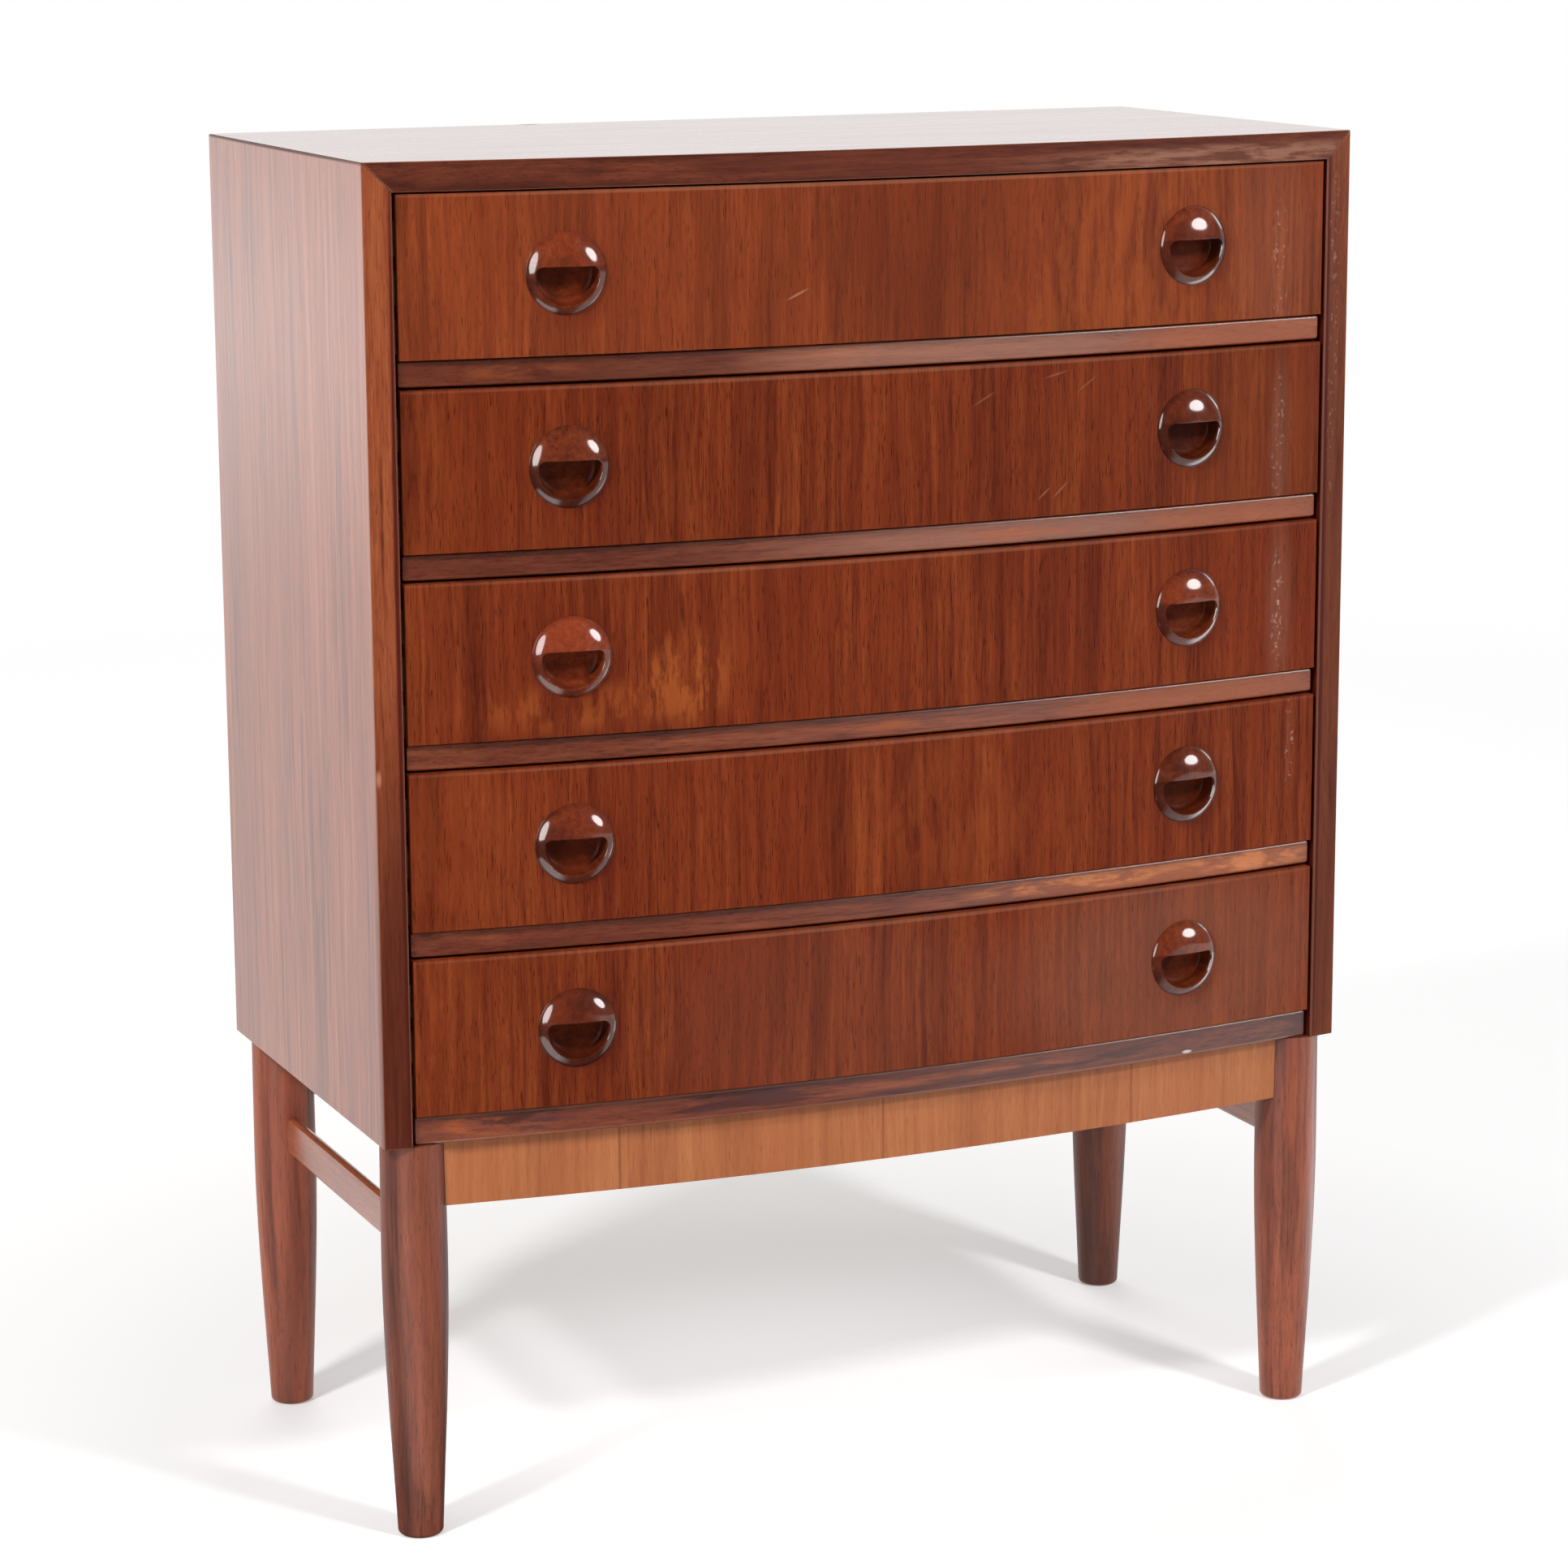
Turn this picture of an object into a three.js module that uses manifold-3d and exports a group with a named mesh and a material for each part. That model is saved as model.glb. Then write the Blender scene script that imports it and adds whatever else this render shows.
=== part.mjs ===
// Bow front chest of five drawers on a base of turned legs.
// Millimetres, +Z up, front towards -Y, origin on the floor under the middle of the chest.

import * as THREE from 'three';
import { mergeVertices } from 'three/addons/utils/BufferGeometryUtils.js';
import Module from 'manifold-3d';

const wasm = await Module();
wasm.setup();

// Driving dimensions
const chestWidth = 800;
const sideDepth = 377;
const bowRise = 32;
const carcassHeight = 720;
const legHeight = 308;
const drawerCount = 5;

// Clearances
const seatGap = 0.3;
const overrun = 5;

// Carcass boards
const panelThick = 21.5;
const arrisChamfer = 1.5;
const backThick = 5;
const backRebate = 9;
const tongueLength = 8;
const tongueShoulder = 5;
const tongueSetback = 30;

// Rails between the drawers, and the rail under the lowest one
const railHeight = 19;
const railDepth = 45;
const railRecess = 6;
const railEndGap = 3.2;
const railRound = 2.5;
const bottomRailHeight = 22;
const tenonLength = 8;
const tenonShoulder = 4;
const tenonSetback = 16;
const tenonWidth = 24;

// Battens that carry the drawers
const runnerWidth = 26;
const runnerBackGap = 2;

// Drawers
const drawerRecess = 1.5;
const drawerEndGap = 3.2;
const frontBottomGap = 1;
const frontTopGap = 1.5;
const frontThick = 20;
const boxSideThick = 12;
const boxTopGap = 15.8;
const boxBackThick = 12;
const boxBackDrop = 6;
const boxBackInset = 14;
const boxRearGap = 12;
const dadoDepth = 4;
const boxBottomThick = 5;
const boxBottomRaise = 8;
const boxBottomGroove = 5;

// Dovetails that join a drawer side to the front
const tailCount = 3;
const tailLength = 13;
const tailTipHeight = 25;
const tailRootHeight = 18;

// Turned pulls, each a low dome with a finger cup under its upper half
const pullSpacing = 508;
const pullRadius = 30;
const pullCrown = 8;
const domeShares = [0.985, 0.94, 0.86, 0.72, 0.45, 0];
const domePower = 2.6;
const domeEase = 0.75;
const pullSpigotRadius = 24;
const pullSpigotLength = 12.5;
const pullMouthRadius = 22.5;
const mouthLipHeight = 1;
const mouthFlare = 3.5;
const mouthFlareHeight = 4;
const pullCupDepth = 10;
const pullFloorRadius = 20;
const pullFloorRound = 1.8;
const lidEdgeHeight = 5;
const lidHalfSpan = 24;
const lidCornerRound = 6;
const lidUnder = 2;

// Turned legs
const legInset = 28.5;
const frontLegSetback = 22;
const backLegSetback = 31;
const legBellyRadius = 24.8;
const legFootRound = 4;
const legFootShare = 0.7;
const legProfileShares = [
  [0.165, 0.785],
  [0.33, 0.885],
  [0.5, 0.965],
  [0.65, 1],
  [0.82, 0.995],
  [1, 0.98],
];

// Boards between the legs
const apronHeight = 50;
const apronThick = 18;
const apronSetback = 14;
const stretcherHeight = 30;
const stretcherThick = 10;
const stretcherDrop = 63;
const stretcherRound = 4;
const stubLength = 10;
const stubThick = 7;
const stubShoulder = 7;

// Facet counts; an arc in an outline is split into twice its count
const bowSegments = 7;
const roundSegments = 1;
const easedSegments = 2;
const pullSides = 20;
const legSides = 20;
const flareSteps = 3;
const footSteps = 2;

// Places worked out from the sizes
const halfWidth = chestWidth / 2;
const innerHalf = halfWidth - panelThick;
const cornerY = bowRise - (sideDepth + bowRise) / 2;
const backY = cornerY + sideDepth;
const topZ = legHeight + carcassHeight;
const bowRadius = (halfWidth ** 2 + bowRise ** 2) / (2 * bowRise);
const bowCentreY = cornerY - bowRise + bowRadius;
const openingHeight =
  (carcassHeight - panelThick - bottomRailHeight - (drawerCount - 1) * railHeight) / drawerCount;
const rowPitch = openingHeight + railHeight;
const caseBackY = backY - backThick - seatGap;

// Colours of the woods
const caseWood = { color: 0x7d4630, roughness: 0.42, metalness: 0 };
const frontWood = { color: 0x8a4527, roughness: 0.4, metalness: 0 };
const railWood = { color: 0x71392a, roughness: 0.4, metalness: 0 };
const pullWood = { color: 0x5a2a1a, roughness: 0.16, metalness: 0 };
const legWood = { color: 0x8a4f3a, roughness: 0.42, metalness: 0 };
const apronWood = { color: 0xb0703f, roughness: 0.5, metalness: 0 };
const boxWood = { color: 0xcaa274, roughness: 0.6, metalness: 0 };
const plyWood = { color: 0xc49a6c, roughness: 0.65, metalness: 0 };

// Solids and geometry

function toSolid(geometry) {
  geometry.deleteAttribute('normal');
  geometry.deleteAttribute('uv');
  const merged = mergeVertices(geometry);
  return new wasm.Manifold(
    new wasm.Mesh({
      numProp: 3,
      vertProperties: new Float32Array(merged.attributes.position.array),
      triVerts: new Uint32Array(merged.index.array),
    }),
  );
}

function toGeometry(solid) {
  const mesh = solid.getMesh();
  const geometry = new THREE.BufferGeometry();
  geometry.setAttribute('position', new THREE.BufferAttribute(new Float32Array(mesh.vertProperties), 3));
  geometry.setIndex(new THREE.BufferAttribute(new Uint32Array(mesh.triVerts), 1));
  geometry.computeVertexNormals();
  return geometry;
}

function block(x0, x1, y0, y1, z0, z1) {
  const geometry = new THREE.BoxGeometry(x1 - x0, y1 - y0, z1 - z0);
  geometry.translate((x0 + x1) / 2, (y0 + y1) / 2, (z0 + z1) / 2);
  return geometry;
}

// A block on the right or the left half, by the sign of side
function sidedBlock(side, x0, x1, y0, y1, z0, z1) {
  return block(Math.min(side * x0, side * x1), Math.max(side * x0, side * x1), y0, y1, z0, z1);
}

function plate(shape, z0, z1) {
  const geometry = new THREE.ExtrudeGeometry(shape, {
    depth: z1 - z0,
    bevelEnabled: false,
    curveSegments: bowSegments,
  });
  geometry.translate(0, 0, z0);
  return geometry;
}

// A plate whose edges are rounded all round, top and bottom
function easedPlate(shape, z0, z1, round) {
  const geometry = new THREE.ExtrudeGeometry(shape, {
    depth: z1 - z0 - 2 * round,
    bevelThickness: round,
    bevelSize: round,
    bevelOffset: -round,
    bevelSegments: easedSegments,
    curveSegments: bowSegments,
  });
  geometry.translate(0, 0, z0 + round);
  return geometry;
}

function outline(points) {
  return new THREE.Shape(points.map(([u, v]) => new THREE.Vector2(u, v)));
}

// A prism along Y whose outline is given in X and Z
function prismAlongY(shape, y0, y1) {
  const geometry = new THREE.ExtrudeGeometry(shape, {
    depth: y1 - y0,
    bevelEnabled: false,
    curveSegments: roundSegments,
  });
  geometry.rotateX(Math.PI / 2);
  geometry.translate(0, y1, 0);
  return geometry;
}

// A prism along X whose outline is given in Y and Z
function prismAlongX(shape, x0, x1) {
  const geometry = new THREE.ExtrudeGeometry(shape, { depth: x1 - x0, bevelEnabled: false });
  const turn = new THREE.Matrix4().makeBasis(
    new THREE.Vector3(0, 1, 0),
    new THREE.Vector3(0, 0, 1),
    new THREE.Vector3(1, 0, 0),
  );
  geometry.applyMatrix4(turn);
  geometry.translate(x0, 0, 0);
  return geometry;
}

function lathe(points, sides) {
  return new THREE.LatheGeometry(points.map(([r, h]) => new THREE.Vector2(r, h)), sides);
}

function join(...solids) {
  return solids.reduce((whole, solid) => whole.add(solid));
}

function cut(body, ...cutters) {
  return cutters.reduce((whole, cutter) => whole.subtract(cutter), body);
}

// The bow of the front: an arc, set back by an inset from the front edge of the top

function bowY(x, inset) {
  return bowCentreY - Math.sqrt((bowRadius - inset) ** 2 - x ** 2);
}

function bowArc(shape, fromX, toX, inset) {
  const radius = bowRadius - inset;
  const start = -Math.PI / 2 + Math.asin(fromX / radius);
  const end = -Math.PI / 2 + Math.asin(toX / radius);
  shape.absarc(0, bowCentreY, radius, start, end, fromX > toX);
}

// A board with a bowed front edge and a straight back edge
function bowedBoard(half, inset, rearY) {
  const shape = new THREE.Shape();
  bowArc(shape, -half, half, inset);
  shape.lineTo(half, rearY);
  shape.lineTo(-half, rearY);
  shape.closePath();
  return shape;
}

// A strip of even thickness that follows the bow
function bowedStrip(half, inset, thick) {
  const shape = new THREE.Shape();
  bowArc(shape, -half, half, inset);
  bowArc(shape, half, -half, inset + thick);
  shape.closePath();
  return shape;
}

// Carcass

// Cutters for the 45 degree mitre between the top and a side; the gap is shared by both
function mitreCutter(side, forTop) {
  const gap = seatGap / Math.SQRT2;
  const far = panelThick + overrun;
  const baseZ = topZ - panelThick;
  const points = forTop
    ? [[-overrun - gap, -overrun], [far, far + gap], [far, -overrun]]
    : [[-overrun, -overrun - gap], [far, far - gap], [-overrun, far]];
  const shape = outline(points.map(([u, w]) => [side * (innerHalf + u), baseZ + w]));
  return toSolid(prismAlongY(shape, cornerY - bowRise - overrun, backY + overrun));
}

function backRebateCutter() {
  const reach = innerHalf + backRebate;
  return toSolid(
    block(-reach, reach, caseBackY, backY + overrun,
      legHeight + bottomRailHeight - backRebate, topZ - panelThick + backRebate),
  );
}

function topPanel() {
  const board = toSolid(plate(bowedBoard(halfWidth, 0, backY), topZ - panelThick, topZ));
  return cut(board, mitreCutter(1, true), mitreCutter(-1, true), backRebateCutter());
}

function rowBottom(row) {
  return legHeight + bottomRailHeight + (drawerCount - 1 - row) * rowPitch;
}

// Tenon bars of a rail, grown by a gap where they cut their mortises
function railTenons(railZ, grow) {
  const reach = innerHalf + tenonLength + grow;
  const frontY = bowY(innerHalf, railRecess) + tenonSetback;
  return toSolid(
    block(-reach, reach, frontY - grow, frontY + tenonWidth + grow,
      railZ + tenonShoulder - grow, railZ + railHeight - tenonShoulder + grow),
  );
}

// Tongues of the bottom panel, which run in grooves of the sides
function bottomTongues(grow) {
  const reach = innerHalf + tongueLength + grow;
  return toSolid(
    block(-reach, reach, cornerY + tongueSetback - grow, caseBackY - tongueSetback + grow,
      legHeight + tongueShoulder - grow, legHeight + bottomRailHeight - tongueShoulder + grow),
  );
}

function sidePanel(side) {
  const shape = outline([
    [side * halfWidth, cornerY],
    [side * halfWidth, backY],
    [side * innerHalf, backY],
    [side * innerHalf, bowY(innerHalf, 0) + arrisChamfer],
    [side * (innerHalf + arrisChamfer), bowY(innerHalf + arrisChamfer, 0)],
  ]);
  const board = toSolid(plate(shape, legHeight, topZ));
  const mortises = [];
  for (let row = 0; row < drawerCount - 1; row += 1) {
    mortises.push(railTenons(rowBottom(row) - railHeight, seatGap));
  }
  return cut(board, mitreCutter(side, false), backRebateCutter(), bottomTongues(seatGap), ...mortises);
}

// The board of a rail, which stops short of the sides and leaves a shadow gap there
function railBoard(z0, z1) {
  const shape = bowedBoard(innerHalf - railEndGap, railRecess, cornerY + railDepth);
  return toSolid(easedPlate(shape, z0, z1, railRound));
}

function bottomPanel() {
  const half = innerHalf - seatGap;
  const boardFrontY = bowY(innerHalf, railRecess) + tenonSetback;
  const lipping = railBoard(legHeight, legHeight + bottomRailHeight);
  const board = toSolid(
    block(-half, half, boardFrontY, backY, legHeight, legHeight + bottomRailHeight),
  );
  return cut(join(lipping, board, bottomTongues(0)), backRebateCutter());
}

function backPanel() {
  const reach = innerHalf + backRebate - seatGap;
  return block(-reach, reach, backY - backThick, backY,
    legHeight + bottomRailHeight - backRebate + seatGap, topZ - panelThick + backRebate - seatGap);
}

function dividerRail(row) {
  const railZ = rowBottom(row) - railHeight;
  return join(railBoard(railZ, railZ + railHeight), railTenons(railZ, 0));
}

function runner(side, row) {
  const railZ = rowBottom(row) - railHeight;
  return sidedBlock(side, innerHalf - runnerWidth, innerHalf - seatGap,
    cornerY + railDepth + seatGap, caseBackY - runnerBackGap, railZ, railZ + railHeight);
}

// Drawers, made with Z = 0 at the top of the rail or runner that carries them

const frontHalf = innerHalf - drawerEndGap;
const frontInnerInset = drawerRecess + frontThick;
const boxInnerHalf = frontHalf - boxSideThick;
const boxRearY = caseBackY - boxRearGap;
const boxSideHeight = openingHeight - boxTopGap - seatGap;
const pullX = pullSpacing / 2;
const pullZ = (frontBottomGap + openingHeight - frontTopGap) / 2;

// Turns a piece made round +Y, with its back at the origin, to stand square on the bowed front
function onFront(object, side) {
  const lean = Math.asin((side * pullX) / (bowRadius - drawerRecess));
  object.rotation.z = Math.PI + lean;
  object.position.set(side * pullX, bowY(pullX, drawerRecess), pullZ);
  object.updateMatrix();
  return object;
}

function pullBore(side) {
  const depth = pullSpigotLength + seatGap;
  const geometry = new THREE.CylinderGeometry(
    pullSpigotRadius + seatGap, pullSpigotRadius + seatGap, depth + overrun, pullSides,
  );
  geometry.translate(0, (overrun - depth) / 2, 0);
  geometry.applyMatrix4(onFront(new THREE.Object3D(), side).matrix);
  return toSolid(geometry);
}

// Dovetails on a drawer side, grown by a gap where they cut their sockets
function dovetails(side, grow) {
  const pitch = boxSideHeight / tailCount;
  const shoulderY = bowY(frontHalf, frontInnerInset) + seatGap;
  const tipY = shoulderY - tailLength - grow;
  const rootY = shoulderY + boxSideThick / 2;
  const slope = (tailTipHeight - tailRootHeight) / 2 / tailLength;
  const tails = [];
  for (let i = 0; i < tailCount; i += 1) {
    const middle = seatGap + (i + 1 / 2) * pitch;
    const tip = tailTipHeight / 2 + grow * (1 + slope);
    const root = tip - slope * (rootY - tipY);
    const shape = outline([
      [tipY, middle - tip], [rootY, middle - root], [rootY, middle + root], [tipY, middle + tip],
    ]);
    const innerX = boxInnerHalf - grow;
    const outerX = frontHalf + (grow > 0 ? overrun : 0);
    const x0 = side > 0 ? innerX : -outerX;
    const x1 = side > 0 ? outerX : -innerX;
    tails.push(toSolid(prismAlongX(shape, x0, x1)));
  }
  return join(...tails);
}

function drawerBottom(grow) {
  const half = boxInnerHalf + boxBottomGroove - seatGap + grow;
  const inset = frontInnerInset - boxBottomGroove + seatGap - grow;
  const z0 = seatGap + boxBottomRaise;
  return plate(bowedBoard(half, inset, boxRearY + grow), z0 - grow, z0 + boxBottomThick + grow);
}

function boxBack(grow) {
  const half = boxInnerHalf + dadoDepth - seatGap + grow;
  const y1 = boxRearY - boxBackInset;
  return block(-half, half, y1 - boxBackThick - grow, y1 + grow,
    seatGap + boxBottomRaise + boxBottomThick + seatGap, boxSideHeight - boxBackDrop + grow);
}

function drawerFront() {
  const board = toSolid(
    plate(bowedStrip(frontHalf, drawerRecess, frontThick), frontBottomGap, openingHeight - frontTopGap),
  );
  return cut(board, pullBore(1), pullBore(-1), dovetails(1, seatGap), dovetails(-1, seatGap),
    toSolid(drawerBottom(seatGap)));
}

function drawerSide(side) {
  const shape = outline([
    [side * boxInnerHalf, bowY(boxInnerHalf, frontInnerInset) + seatGap],
    [side * frontHalf, bowY(frontHalf, frontInnerInset) + seatGap],
    [side * frontHalf, boxRearY],
    [side * boxInnerHalf, boxRearY],
  ]);
  const board = toSolid(plate(shape, seatGap, boxSideHeight + seatGap));
  const groove = toSolid(
    sidedBlock(side, boxInnerHalf - overrun, boxInnerHalf + boxBottomGroove,
      cornerY - bowRise, boxRearY + overrun, boxBottomRaise, boxBottomRaise + boxBottomThick + 2 * seatGap),
  );
  return cut(join(board, dovetails(side, 0)), groove, toSolid(boxBack(seatGap)));
}

// The domed face of a pull, from near its edge to its middle
function domePoints() {
  return domeShares.map((share) => [
    pullRadius * share,
    pullCrown * (1 - share ** domePower) ** domeEase,
  ]);
}

// The rounded inner edge of the mouth, from the cup up to where it clears the dome
function flarePoints() {
  const points = [];
  for (let i = 0; i <= flareSteps; i += 1) {
    const angle = (Math.PI / 2) * (i / flareSteps);
    points.push([
      pullMouthRadius + mouthFlare * (1 - Math.cos(angle)),
      mouthLipHeight + mouthFlareHeight * Math.sin(angle),
    ]);
  }
  return points;
}

// The upper half of a pull seen from the front, its straight lower edge rounded down at both ends
function lidShape() {
  const cornerX = lidHalfSpan - lidCornerRound;
  const cornerZ = lidEdgeHeight - lidCornerRound;
  const shape = new THREE.Shape();
  shape.absarc(cornerX, cornerZ, lidCornerRound, 0, Math.PI / 2, false);
  shape.absarc(-cornerX, cornerZ, lidCornerRound, Math.PI / 2, Math.PI, false);
  shape.lineTo(-pullRadius, cornerZ);
  shape.lineTo(-pullRadius, pullRadius);
  shape.lineTo(pullRadius, pullRadius);
  shape.lineTo(pullRadius, cornerZ);
  shape.closePath();
  return shape;
}

function pull() {
  const button = toSolid(lathe([
    [0, -pullSpigotLength],
    [pullSpigotRadius, -pullSpigotLength],
    [pullSpigotRadius, seatGap],
    [pullRadius, seatGap],
    ...domePoints(),
  ], pullSides));
  const openTop = pullCrown + overrun;
  const cup = toSolid(lathe([
    [0, -pullCupDepth],
    [pullFloorRadius, -pullCupDepth],
    [pullFloorRadius + pullFloorRound, pullFloorRound - pullCupDepth],
    ...flarePoints(),
    [pullMouthRadius + mouthFlare, openTop],
    [0, openTop],
  ], pullSides));
  const lid = toSolid(prismAlongY(lidShape(), lidUnder, openTop + overrun));
  return cut(button, cut(cup, lid));
}

// Base

const legX = halfWidth - legInset;
const frontLegY = cornerY + frontLegSetback;
const backLegY = backY - backLegSetback;
const stretcherTopZ = legHeight - stretcherDrop;
const apronTopZ = legHeight - seatGap;
const apronBottomZ = legHeight - apronHeight;

// A leg round Z, grown by a gap where it cuts the ends of the boards beside it
function legTurning(grow) {
  const footFlat = legBellyRadius * legFootShare - legFootRound + grow;
  const points = [[0, 0]];
  for (let i = 0; i <= footSteps; i += 1) {
    const angle = (Math.PI / 2) * (i / footSteps);
    points.push([footFlat + legFootRound * Math.sin(angle), legFootRound * (1 - Math.cos(angle))]);
  }
  for (const [heightShare, radiusShare] of legProfileShares) {
    points.push([legBellyRadius * radiusShare + grow, (legHeight - seatGap) * heightShare]);
  }
  points.push([0, legHeight - seatGap]);
  const geometry = lathe(points, legSides);
  geometry.rotateX(Math.PI / 2);
  return geometry;
}

function legCutter(x, y) {
  return toSolid(legTurning(seatGap).translate(x, y, 0));
}

// Stub tenons at both ends of a board that runs across the chest
function acrossStubs(middleY, grow) {
  const reach = legX - legBellyRadius + stubLength + grow;
  const halfThick = stubThick / 2 + grow;
  const stub = (side) => toSolid(
    sidedBlock(side, legX - legBellyRadius - overrun, reach, middleY - halfThick, middleY + halfThick,
      apronBottomZ + stubShoulder - grow, apronTopZ - stubShoulder + grow),
  );
  return join(stub(1), stub(-1));
}

// Stub tenons at both ends of a side stretcher
function alongStubs(side, grow) {
  const halfThick = stubThick / 2 + grow;
  const z0 = stretcherTopZ - stretcherHeight + stubShoulder - grow;
  const z1 = stretcherTopZ - stubShoulder + grow;
  const x0 = side * legX - halfThick;
  const x1 = side * legX + halfThick;
  const front = frontLegY + legBellyRadius;
  const rear = backLegY - legBellyRadius;
  return join(
    toSolid(block(x0, x1, front - stubLength - grow, front + overrun, z0, z1)),
    toSolid(block(x0, x1, rear - overrun, rear + stubLength + grow, z0, z1)),
  );
}

const frontStubY = bowY(legX - legBellyRadius, apronSetback) + apronThick / 2;

function leg(side, y, stubY) {
  const turned = toSolid(legTurning(0).translate(side * legX, y, 0));
  return cut(turned, acrossStubs(stubY, seatGap), alongStubs(side, seatGap));
}

function frontApron() {
  const board = toSolid(plate(bowedStrip(legX, apronSetback, apronThick), apronBottomZ, apronTopZ));
  const coped = cut(board, legCutter(legX, frontLegY), legCutter(-legX, frontLegY), outerTrim());
  return join(coped, acrossStubs(frontStubY, 0));
}

function backApron() {
  const half = legX;
  const board = toSolid(
    block(-half, half, backLegY - apronThick / 2, backLegY + apronThick / 2, apronBottomZ, apronTopZ),
  );
  const coped = cut(board, legCutter(legX, backLegY), legCutter(-legX, backLegY), outerTrim());
  return join(coped, acrossStubs(backLegY, 0));
}

// Takes off what the leg cutters leave beyond the inner side of the legs
function outerTrim() {
  const trim = (side) => toSolid(
    sidedBlock(side, legX - legBellyRadius / 2, halfWidth, cornerY - bowRise, backY, 0, legHeight),
  );
  return join(trim(1), trim(-1));
}

function sideStretcher(side) {
  const halfThick = stretcherThick / 2;
  const x0 = side * legX - halfThick;
  const x1 = side * legX + halfThick;
  const z0 = stretcherTopZ - stretcherHeight;
  const shape = new THREE.Shape();
  shape.moveTo(x0 + stretcherRound, z0);
  shape.absarc(x1 - stretcherRound, z0 + stretcherRound, stretcherRound, -Math.PI / 2, 0, false);
  shape.absarc(x1 - stretcherRound, stretcherTopZ - stretcherRound, stretcherRound, 0, Math.PI / 2, false);
  shape.absarc(
    x0 + stretcherRound, stretcherTopZ - stretcherRound, stretcherRound, Math.PI / 2, Math.PI, false,
  );
  shape.absarc(x0 + stretcherRound, z0 + stretcherRound, stretcherRound, Math.PI, Math.PI * 1.5, false);
  shape.closePath();
  const bar = toSolid(prismAlongY(shape, frontLegY + legBellyRadius / 2, backLegY - legBellyRadius / 2));
  const coped = cut(bar, legCutter(side * legX, frontLegY), legCutter(side * legX, backLegY));
  return join(coped, alongStubs(side, 0));
}

// The assembly

function piece(name, form, finish) {
  const geometry = form.isBufferGeometry ? form : toGeometry(form);
  const mesh = new THREE.Mesh(geometry, new THREE.MeshStandardMaterial(finish));
  mesh.name = name;
  return mesh;
}

function carcass() {
  const group = new THREE.Group();
  group.add(piece('top_panel', topPanel(), caseWood));
  group.add(piece('left_side_panel', sidePanel(-1), caseWood));
  group.add(piece('right_side_panel', sidePanel(1), caseWood));
  group.add(piece('bottom_panel', bottomPanel(), caseWood));
  group.add(piece('back_panel', backPanel(), plyWood));
  for (let row = 0; row < drawerCount - 1; row += 1) {
    group.add(piece(`divider_rail_${row + 1}`, dividerRail(row), railWood));
    group.add(piece(`left_runner_${row + 1}`, runner(-1, row), boxWood));
    group.add(piece(`right_runner_${row + 1}`, runner(1, row), boxWood));
  }
  return group;
}

function base() {
  const group = new THREE.Group();
  group.add(piece('front_left_leg', leg(-1, frontLegY, frontStubY), legWood));
  group.add(piece('front_right_leg', leg(1, frontLegY, frontStubY), legWood));
  group.add(piece('back_left_leg', leg(-1, backLegY, backLegY), legWood));
  group.add(piece('back_right_leg', leg(1, backLegY, backLegY), legWood));
  group.add(piece('front_apron', frontApron(), apronWood));
  group.add(piece('back_apron', backApron(), apronWood));
  group.add(piece('left_stretcher', sideStretcher(-1), apronWood));
  group.add(piece('right_stretcher', sideStretcher(1), apronWood));
  return group;
}

const drawerForms = {
  front: toGeometry(drawerFront()),
  leftSide: toGeometry(drawerSide(-1)),
  rightSide: toGeometry(drawerSide(1)),
  back: boxBack(0),
  bottom: drawerBottom(0),
  pull: toGeometry(pull()),
};

function drawer(row) {
  const name = `drawer_${row + 1}`;
  const group = new THREE.Group();
  group.add(piece(`${name}_front`, drawerForms.front, frontWood));
  group.add(piece(`${name}_left_side`, drawerForms.leftSide, boxWood));
  group.add(piece(`${name}_right_side`, drawerForms.rightSide, boxWood));
  group.add(piece(`${name}_back`, drawerForms.back, boxWood));
  group.add(piece(`${name}_bottom`, drawerForms.bottom, plyWood));
  group.add(onFront(piece(`${name}_left_pull`, drawerForms.pull, pullWood), -1));
  group.add(onFront(piece(`${name}_right_pull`, drawerForms.pull, pullWood), 1));
  group.position.z = rowBottom(row);
  return group;
}

const chest = new THREE.Group();
chest.add(carcass(), base());
for (let row = 0; row < drawerCount; row += 1) {
  chest.add(drawer(row));
}

export default chest;
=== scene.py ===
"""Bow front chest of drawers: the looks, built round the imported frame. Units are metres."""
import math

import bpy
from mathutils import Matrix, Vector


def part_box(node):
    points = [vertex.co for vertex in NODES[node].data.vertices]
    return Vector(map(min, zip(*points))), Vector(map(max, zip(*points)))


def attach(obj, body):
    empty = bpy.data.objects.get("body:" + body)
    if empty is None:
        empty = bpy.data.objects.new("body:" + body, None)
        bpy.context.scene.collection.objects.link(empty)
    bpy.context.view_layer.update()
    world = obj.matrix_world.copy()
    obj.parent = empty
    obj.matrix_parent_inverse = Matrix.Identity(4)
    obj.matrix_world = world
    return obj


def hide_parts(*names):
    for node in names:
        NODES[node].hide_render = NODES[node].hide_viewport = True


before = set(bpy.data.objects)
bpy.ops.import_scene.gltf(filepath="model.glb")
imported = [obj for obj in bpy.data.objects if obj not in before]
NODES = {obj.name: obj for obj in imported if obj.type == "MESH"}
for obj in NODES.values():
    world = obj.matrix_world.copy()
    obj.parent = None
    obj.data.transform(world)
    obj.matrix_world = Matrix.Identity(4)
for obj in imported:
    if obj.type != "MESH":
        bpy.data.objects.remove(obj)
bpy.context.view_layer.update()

MM = 0.001
DRAWERS = 5
RAILS = 4

# Camera, fitted to the photograph
CAMERA_PLACE = (-1376.4 * MM, -3162.6 * MM, 1235.3 * MM)
CAMERA_YAW = math.radians(23.455)
CAMERA_PITCH = math.radians(11.792)
CAMERA_ROLL = math.radians(-0.300)
FOCAL_PIXELS = 5464.4
PHOTO_PIXELS = 1932
SENSOR = 36
CAMERA_REACH = 100

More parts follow.
